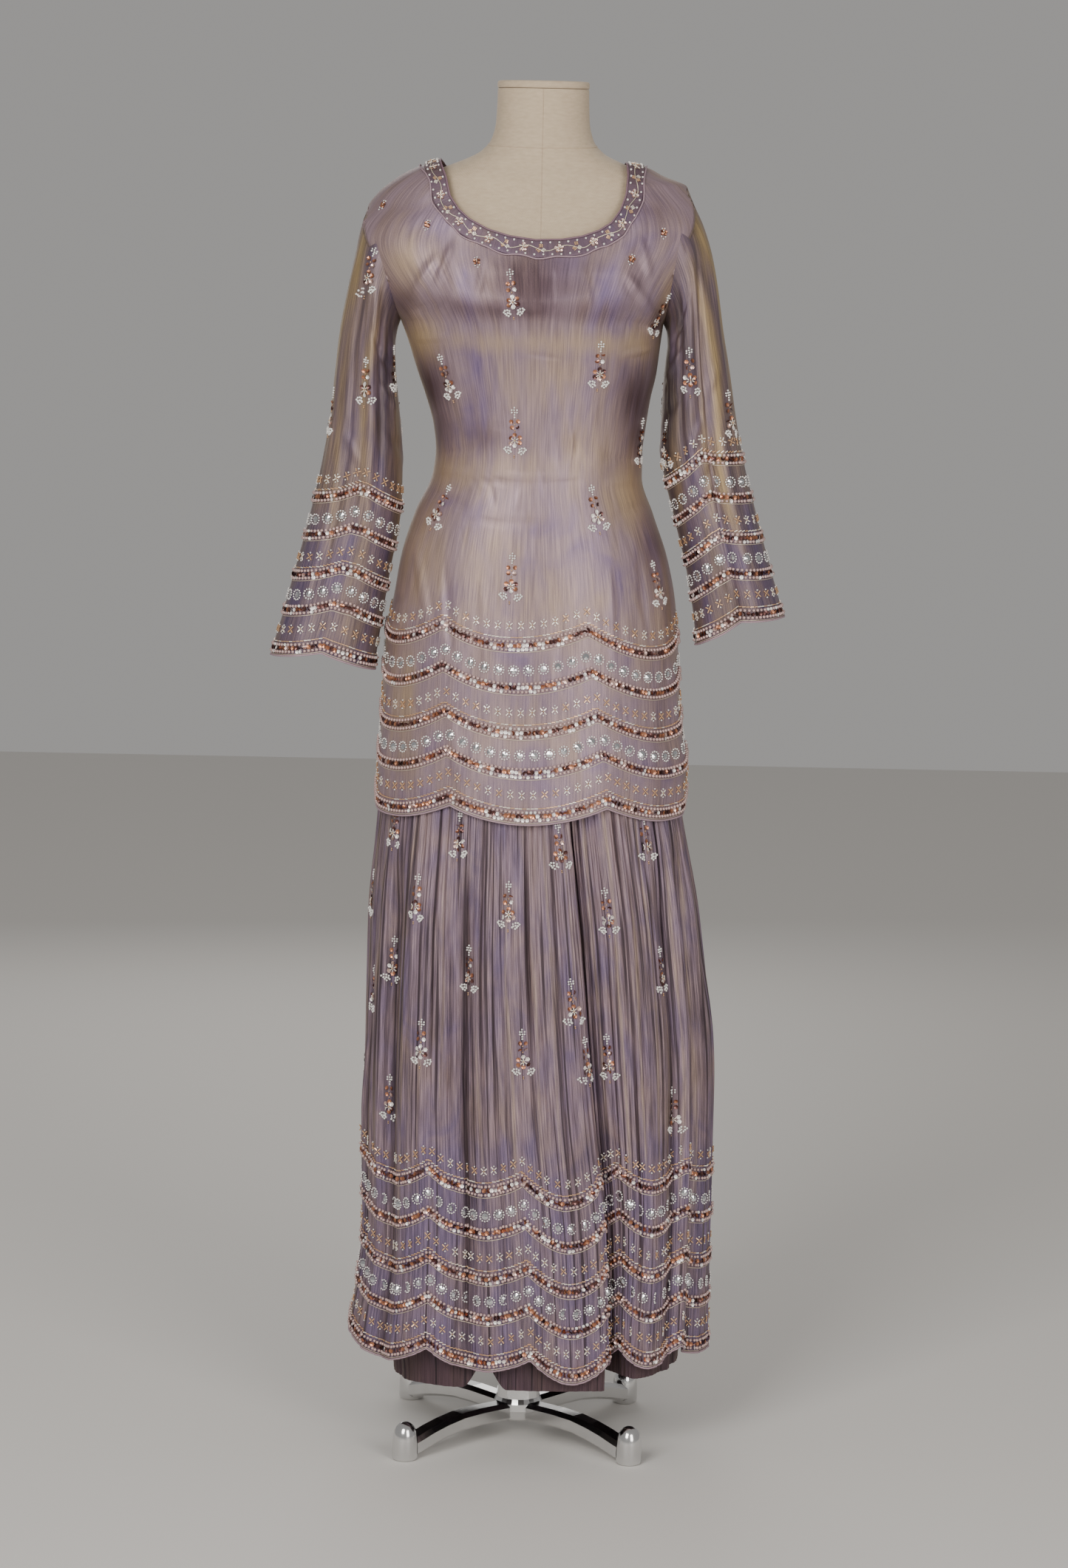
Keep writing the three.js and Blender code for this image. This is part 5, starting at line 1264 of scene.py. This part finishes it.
def kurti_path(height):
    """The border's line at a height above the hem; it leans and drops towards the top row."""
    u = np.linspace(0, 2, 601)
    across = np.where(u <= 1, u, 2 - u)
    up = height / BORDER_HEIGHT
    rise = HEM_RISE + 5 * min(1.0, height / 25)
    wave = rise * (1 - scallop((across + BORDER_LEAN * up) * HEM_LOBES))
    return u, HEM_LOW + wave + height - BORDER_DROP * up * ease((across - 0.45) / 0.5)


def kurti_ground(border, x, z, tilt, face):
    u = float(angle_at(np.array(float(x)), np.array(float(z)), face)) / np.pi
    return Ground(border, u if face == "front" else 2 - u, z, KURTI_STEPS, tilt)


def sew_kurti():
    border = Border(Tray("kurti"), kurti_loop, kurti_path, KURTI_STEPS, (0.06, 0.36))
    border.face_out(100)
    sew_border(border, "kurti")
    for face in ("front", "back"):
        for x, z, tilt in MOTIFS_KURTI[face]:
            sew_motif(kurti_ground(border, x, z, tilt, face))
        for x, z in SPRIGS_KURTI[face]:
            sew_sprig(kurti_ground(border, x, z, 0, face))
    return border.tray


# Neck band
BAND_POINTS = 401
BAND_SHARES = np.array([0.0, 0.02, 0.1, 0.3, 0.5, 0.7, 0.9, 0.98, 1.0])
BAND_LIFT = np.array([0.35, 1.2, 1.45, 1.4, 1.4, 1.4, 1.45, 1.2, 0.35])
BAND_WAVES = 16


def band_surface(u, share):
    """The kurti near the neckline: u from 0 to 2 all round, share from the edge to the band's outer edge."""
    u = np.asarray(u, float) % 2
    share = np.asarray(share, float) + 0 * u
    out = []
    for face, across in (("front", np.clip(u, 0, 1)), ("back", np.clip(2 - u, 0, 1))):
        angle, z = kurti_angle_height(across, share, face)
        out.append(kurti_surface(angle, z, face))
    return np.where((u <= 1)[..., None], *out)


def make_band():
    uu, ss = np.meshgrid(np.linspace(0, 2, BAND_POINTS)[:-1], BAND_SHARES)
    p, n, _ = frames_on(band_surface, uu, np.clip(ss, 0.05, 0.95), BAND_STEPS)
    grid = band_surface(uu, ss) + n * outward_sign(p, n) * BAND_LIFT[:, None, None]
    piece = cloth_object("neck_band_cloth", grid, True, BAND_SATIN)
    take_place(piece, "neck_band", "neck_band")
    return piece


def sew_band_flower(tray, frames, use):
    """Five rose sequins round a gilt bead, with four silver bugles between them."""
    p, n, along = [part[use] for part in frames]
    side = np.cross(n, along)
    for k in range(5):
        turn = 2 * np.pi * (k + 0.25) / 5
        out = along * math.cos(turn) + side * math.sin(turn)
        tray.add("sequin", "rose", p + out * 3.6, out, n, 2.1, 0.12, 1.9)
        if k < 4:
            tray.add("bugle", "silver", p + out * 2.6, out, n, (1.9, 0.6, 0.6), 0.05, 2.7)
    tray.add("pearl", "gilt", p, along, n, 1.2, 0.0, 2.8)


def sew_band_bugles(tray, frames, use):
    """Three leaves of three bugles each."""
    p, n, along = [part[use] for part in frames]
    side = np.cross(n, along)
    for degrees, finish in ((90, "gilt"), (215, "gilt"), (325, "silver")):
        turn = math.radians(degrees)
        out = along * math.cos(turn) + side * math.sin(turn)
        beside = np.cross(n, out)
        for shift in (-1.5, 0.0, 1.5):
            tray.add("bugle", finish, p + out * 3.4 + beside * shift, out, n, (1.95, 0.65, 0.65), 0.05, 2.1)


def band_path(middle, swing=0.0, phase=0.0):
    """A wavy line round the band, by its share of the width."""
    u = np.linspace(0, 2, BAND_POINTS)
    return lambda _: (u, middle + swing * np.sin(np.pi * u * BAND_WAVES + phase))


def sew_band():
    """Flowers and bugle clusters in turn along a wavy stem, with pearls on both sides."""
    border = Border(Tray("band"), band_surface, band_path(0.5), BAND_STEPS)
    border.face_out(0)
    frames = border.places(0, 20.5)
    even = np.arange(len(frames[0])) % 2 == 0
    sew_band_flower(border.tray, frames, even)
    sew_band_bugles(border.tray, frames, ~even)
    for share in (0.17, 0.83):
        border.path = band_path(share)
        p, n, along = border.places(0, 10.25)
        border.tray.add("pearl", "pearl", p, along, n, 1.4, 0.0, 2.2)
    for name, path, radius, thread, lift in (
            ("band_stem", band_path(0.5, 0.14), 0.6, SILVER_THREAD, 1.9),
            ("band_edge", band_path(0.0), 1.2, DARK_PIPING, 0.6),
            ("band_foot", band_path(1.0, 0.07, 1.2), 1.0, MAUVE_THREAD, 0.8)):
        border.path = path
        border.line(0, radius, thread, name, 2.0, lift)
    return border.tray


# Sleeves: turn of a border peak at the top row and at the cuff
CUFF_PEAKS = {"right": (101, 115), "left": (95, 118)}


def make_sleeve(side):
    turn, ring = np.linspace(0, 2 * np.pi, 121)[:-1], np.linspace(0, SLEEVE_END, 140)
    tt, rr = np.meshgrid(turn, ring)
    degrees = np.degrees(tt) % 360
    tones = {"violet": 0.35 + 0.3 * np.sin(tt * 7 + rr) + 0.4 * ease((rr - 7) / 2)}
    # Painted gold sheen and painted shade, in patches from the sleeve's tables
    for key, table in TONES_SLEEVE.items():
        tones[key] = np.zeros(tt.shape)
        for at, row, half, far, strength in table[side]:
            apart = wrapped(degrees - at - 10 * np.sin(rr * 0.9), 360)
            patch = strength * np.exp(-(apart / half) ** 2 - ((rr - row) / far) ** 2)
            tones[key] = np.maximum(tones[key], patch)
    piece = cloth_object(f"sleeve_{side}_cloth", sleeve_surface(tt, rr, side), True, SHADED_SLEEVE_SILK, tones)
    take_place(piece, "silk", f"sleeve_{side}")
    return piece


def cuff_path(side):
    """The border's line on a sleeve, by true distance from the cuff along the cloth."""
    turn, rings = np.linspace(0, 2 * np.pi, 401), np.linspace(SLEEVE_END, 5, 81)
    tt, rr = np.meshgrid(turn, rings)
    reach = np.cumsum(np.linalg.norm(np.diff(sleeve_surface(tt, rr, side), axis=0), axis=-1), axis=0)
    reach = np.concatenate([np.zeros((1, len(turn))), reach])
    top, cuff = np.radians(CUFF_PEAKS[side])

    def path(height):
        at = cuff + (top - cuff) * np.clip(height / 200, 0, 1)
        wave = 8.0 * (1 - scallop(CUFF_LOBES * (turn - at) / (2 * np.pi))) * np.clip(height / 60, 0, 1)
        return turn, np.array([np.interp(height + w, reach[:, k], rings) for k, w in enumerate(wave)])
    return path


def sew_sleeve(side):
    def surface(turn, ring):
        return sleeve_surface(turn, np.clip(ring, 0, SLEEVE_END), side)
    border = Border(Tray(f"sleeve_{side}"), surface, cuff_path(side), SLEEVE_STEPS, (0.2, 0.0))
    border.face_out(100)
    sew_border(border, f"sleeve_{side}", 0.93)
    for degrees, ring in MOTIFS_SLEEVE[side]:
        sew_motif(Ground(border, math.radians(degrees), ring, SLEEVE_STEPS, up_sign=-1.0))
    return border.tray


# Legs and linings
def make_leg(side):
    place = np.linspace(0, LEG_PLACES, 481)[:-1]
    z = LEG_TOP + (hem_height(place, side) - LEG_TOP) * np.linspace(0, 1, 91)[:, None]
    place = np.broadcast_to(place, z.shape)
    grid = leg_surface(place, z, side)
    piece = cloth_object(f"leg_{side}_cloth", grid, True, CRINKLED, leg_tones(place, z, side))
    take_place(piece, "crinkled_silk", f"leg_{side}")
    return piece


def leg_tones(place, z, side):
    """Gold and brown strips beside the pleats, a painted sheen, and painted shade in the grooves."""
    wander = 0.03 * np.sin(z / 47 + place * 3)
    gold, dark = np.zeros(z.shape), np.zeros(z.shape)
    for at, half, top, foot, strength in SHEEN_STRIPS_LEG[side]:
        apart = wrapped(place - at + wander, LEG_PLACES)
        ends = ease((top - z) / 90) * ease((z - foot) / 90)
        gold = np.maximum(gold, 0.55 * strength * bump(apart / half) * ends)
    # Painted shade in the grooves of the deeper pleats and folds
    for pleat in (*LEG_PLEATS[side], *FINE_PLEATS[side]):
        if pleat[2] < 0:
            dark = np.maximum(dark, min(1.0, -0.45 * pleat[2]) * pleat_share(place, z, pleat))
    for fold in LEG_FOLDS[side]:
        if fold[2] < -8:
            dark = np.maximum(dark, 0.75 * fold_share(place, z, fold, 0.5))
    violet = 0.42 + 0.3 * np.sin(place * 9.1 + 1.5 * np.sin(z / 70)) * np.sin(z / 58 + place * 4)
    return {"gold": gold, "dark": dark, "violet": violet + 0.35 * ease((420 - z) / 120)}


def make_lining(side):
    """The plain tube that shows under a hem, its top close inside the leg."""
    hem, insets, waves, (at, half, rise) = LINING[side]
    place = np.linspace(0, LEG_PLACES, 301)[:-1]
    inset = ring_value(insets, place)
    down = np.linspace(0, 1, 19)[:, None]
    foot = hem + ring_value(waves, place) + rise * bump((place - at) / half)
    z = LINING_TOP + (foot - LINING_TOP) * down
    place = np.broadcast_to(place, z.shape)
    on_leg = np.maximum(z, LEG_FOOT)
    grid = leg_surface(place, on_leg, side, relief=False)
    tangent = leg_surface(place + 0.05, on_leg, side, relief=False) - grid
    normal = ring_normal(tangent, (grid - grid.mean(axis=1, keepdims=True))[..., :2])
    out = np.minimum(leg_relief(place, on_leg, side), 0) * (1 - 0.6 * down)
    out = out + 0.5 * np.sin(71 * place * np.pi / 6 + np.sin(z / 30))
    out = out - (LINING_GAP + (inset - LINING_GAP) * ease(down))
    grid[..., :2] += normal * out[..., None]
    grid[..., 2] = z
    piece = cloth_object(f"lining_{side}_cloth", grid, True, LINING_CLOTH)
    take_place(piece, "lining", f"lining_{side}")
    return piece


def place_for_x(side, x, z):
    """The place on a leg's front that lies at this x and height."""
    place = np.linspace(-0.2, 4.4, 400)
    p = leg_surface(place, np.full(400, float(z)), side)
    return float(place[np.argmin(np.abs(p[:, 0] - x) + np.where(p[:, 1] > -20, 60, 0))])


def sew_leg(side):
    def surface(place, z):
        return leg_surface(place, z, side)

    def path(height):
        place = np.linspace(0, LEG_PLACES, 901)
        return place, hem_height(place, side) + height
    border = Border(Tray(f"leg_{side}"), surface, path, LEG_STEPS, (0.1, 0.12))
    border.face_out(100)
    sew_border(border, f"leg_{side}", 1.04)
    front = [(place_for_x(side, x, z), z, tilt) for x, z, tilt in MOTIFS_LEG_FRONT[side]]
    for place, z, tilt in front + [(place, z, 0) for place, z in MOTIFS_LEG_BACK]:
        sew_motif(Ground(border, place, z, (0.03, 2.0), tilt))
    return border.tray


# Dress form
def form_ring(turn, z):
    """Points of the form's outline at each height."""
    half, front, back = [curve(FORM, z, k) for k in (1, 2, 3)]
    s = np.sin(turn)
    y = np.abs(s) ** FORM_ROUND * np.where(s < 0, front, back) * np.sign(s)
    return np.stack([half * np.cos(turn), y, z], -1)


def make_form():
    low, high = FORM[0, 0], FORM[-1, 0]
    z = np.concatenate([np.linspace(low, 1480, 50), np.linspace(1484, high, 40)])
    turn = np.linspace(0, 2 * np.pi, FORM_SIDES + 1)[:-1]
    zz, tt = np.meshgrid(z, turn, indexing="ij")
    points = np.concatenate([form_ring(tt, zz).reshape(-1, 3), [[0, 8, low], [0, 0, high]]])
    base = len(z) * FORM_SIDES
    top = base - FORM_SIDES
    k = np.arange(FORM_SIDES)
    after = (k + 1) % FORM_SIDES
    ends = np.concatenate([np.stack([np.full(FORM_SIDES, base), after, k], -1),
                           np.stack([np.full(FORM_SIDES, base + 1), top + k, top + after], -1)])
    body = new_mesh("form_body_cover", points, grid_faces(len(z), FORM_SIDES, True), LINEN)
    for piece in (body, new_mesh("form_ends", points, ends, LINEN, smooth=False)):
        take_place(piece, "linen", "form_body")


def turned_object(name, profile, sides, mat, slot, node, squash=(1, 1), at=(0, 0)):
    """A piece turned from radius and height pairs."""
    turn = np.linspace(0, 2 * np.pi, sides + 1)[:-1]
    profile = np.array(profile, float)
    grid = np.stack([
        profile[:, :1] * np.cos(turn) * squash[0] + at[0],
        profile[:, :1] * np.sin(turn) * squash[1] + at[1],
        np.broadcast_to(profile[:, 1:], (len(profile), sides))], -1)
    take_place(new_mesh(name, grid, grid_faces(len(profile), sides, True), mat), slot, node)


def make_cap():
    profile = [(0.0, 1588.4), (51, 1588.4), (52.6, 1588.9), (53, 1590.2), (53, 1594.6), (52.2, 1596.2),
               (50.6, 1597.0), (40, 1597.2), (0.0, 1597.4)]
    turned_object("neck_cap_cover", profile, 96, LINEN, "linen", "neck_cap", (1, 50.5 / 53))


def make_seam(name, path, radius, closed):
    forward = np.roll(path, -1, axis=0) - np.roll(path, 1, axis=0)
    if not closed:
        forward[0], forward[-1] = path[1] - path[0], path[-1] - path[-2]
    forward = unit(forward)
    out = path * [1, 1, 0]
    out = unit(out - forward * (out * forward).sum(1, keepdims=True))
    points, faces = tube(path, radius, out, np.cross(out, forward), closed)
    take_place(new_mesh(name, points, faces, LINEN), "linen")


def make_seams():
    """Centre front seam of the form's cover and the seam round the neck's base."""
    z = np.linspace(1400, FORM[-1, 0], 120)
    front = np.stack([np.zeros(120), -curve(FORM, z, 2) - 0.15, z], -1)
    make_seam("form_front_seam", front, 0.45, False)
    turn = np.linspace(0, 2 * np.pi, 161)[:-1]
    neck = form_ring(turn, 1524 + 3 * np.sin(turn)) * [1.003, 1.003, 1]
    make_seam("form_neck_seam", neck, 0.5, True)


# Stand: the base casting is rounded and smoothed from the CAD piece
FOOT_REACH = 130.815
FOOT_PROFILE = [(0, 0.2), (12.8, 0.2), (14.4, 1.4), (15, 3.4), (15, 14), (14.8, 22), (14.1, 29.5),
                (12.6, 35.5), (10.2, 39.8), (7, 42.8), (3.5, 44.5), (0.0, 45)]
POLE_PROFILE = [(0, 96.3), (16, 96.3), (16.5, 96.8), (16.5, 859.2), (16, 859.7), (0, 859.7)]


def soften_base():
    piece = new_object("base_casting_round", bpy.data.objects["base_casting"].data.copy())
    piece.data.materials.clear()
    piece.data.materials.append(ALUMINIUM)
    bevel = piece.modifiers.new("round", "BEVEL")
    bevel.width, bevel.segments = 2.2 * MM, 3
    bevel.limit_method, bevel.angle_limit = "ANGLE", math.radians(22)
    bpy.context.view_layer.update()
    made = bpy.data.meshes.new_from_object(piece.evaluated_get(bpy.context.evaluated_depsgraph_get()))
    piece.modifiers.clear()
    piece.data = made
    for face in made.polygons:
        face.use_smooth = True
    take_place(piece, "cast_metal", "base_casting")


def make_stand():
    soften_base()
    for name, x, y in (("foot_front_right", -1, -1), ("foot_front_left", 1, -1),
                       ("foot_back_left", 1, 1), ("foot_back_right", -1, 1)):
        place = (x * FOOT_REACH, y * FOOT_REACH)
        turned_object(f"{name}_polished", FOOT_PROFILE, 40, ALUMINIUM, "cast_metal", name, at=place)
    turned_object("pole_polished", POLE_PROFILE, 48, STEEL, "pole_metal", "pole")


def dress_hidden():
    """The hidden top of the trousers keeps its CAD shape."""
    for node in ("hip_yoke", "waistband"):
        for slot in bpy.data.objects[node].material_slots:
            slot.material = YOKE_SILK


# Studio: place, target, size, power and colour of each light
LIGHTS = {
    "key": ((-1.5, -3.4, 2.6), (0, 0, 0.95), (1.6, 2.2), 105, (1.0, 0.97, 0.93)),
    "fill": ((1.7, -3.3, 1.7), (0, 0, 0.9), (1.5, 2.4), 62, (1.0, 0.96, 0.92)),
    "back": ((-0.4, 3.0, 1.9), (0, 0, 1.0), (1.6, 2.0), 16, (1.0, 0.98, 0.95)),
}
FLOOR_HALF = 6.0


def make_light(name, place, target, size, power, colour):
    light = bpy.data.lights.new(name, "AREA")
    light.shape, light.size, light.size_y = "RECTANGLE", *size
    light.energy, light.color = power, colour
    obj = new_object(name, light)
    obj.rotation_euler = (Vector(target) - Vector(place)).to_track_quat("-Z", "Y").to_euler()
    obj.location = place


def make_studio():
    floor = bpy.data.meshes.new("floor")
    corners = [(-FLOOR_HALF, -FLOOR_HALF, 0), (FLOOR_HALF, -FLOOR_HALF, 0),
               (FLOOR_HALF, FLOOR_HALF, 0), (-FLOOR_HALF, FLOOR_HALF, 0)]
    floor.from_pydata(corners, [], [(0, 1, 2, 3)])
    floor.materials.append(plain_material("floor_pale", (0.72, 0.70, 0.67), 0.7))
    new_object("floor", floor)
    world = bpy.data.worlds.new("studio")
    bpy.context.scene.world = world
    world.use_nodes = True
    background = world.node_tree.nodes["Background"]
    background.inputs[0].default_value = (0.80, 0.78, 0.76, 1)
    background.inputs[1].default_value = 0.42
    for name, light in LIGHTS.items():
        make_light(name, *light)


def make_camera():
    data = bpy.data.cameras.new("camera")
    data.lens, data.sensor_width = LENS, SENSOR
    obj = new_object("camera", data)
    down = Matrix.Rotation(math.radians(90 - PITCH_DOWN), 4, "X")
    rolled = Matrix.Rotation(math.radians(ROLL), 4, "Z")
    obj.matrix_world = Matrix.Translation(CAMERA_AT) @ (down @ rolled)
    bpy.context.scene.camera = obj


make_camera()
make_studio()
kurti = {"front": make_kurti("front", 170, (22, 70, 132)), "back": make_kurti("back", 120, (16, 48, 90))}
band = make_band()
sleeves = {side: make_sleeve(side) for side in ("right", "left")}
legs = {side: make_leg(side) for side in ("right", "left")}
linings = {side: make_lining(side) for side in ("right", "left")}
make_form()
make_cap()
make_seams()
make_stand()
dress_hidden()
trays = [sew_kurti(), sew_band(), sew_sleeve("right"), sew_sleeve("left"), sew_leg("right"), sew_leg("left")]
for tray in trays:
    tray.build()
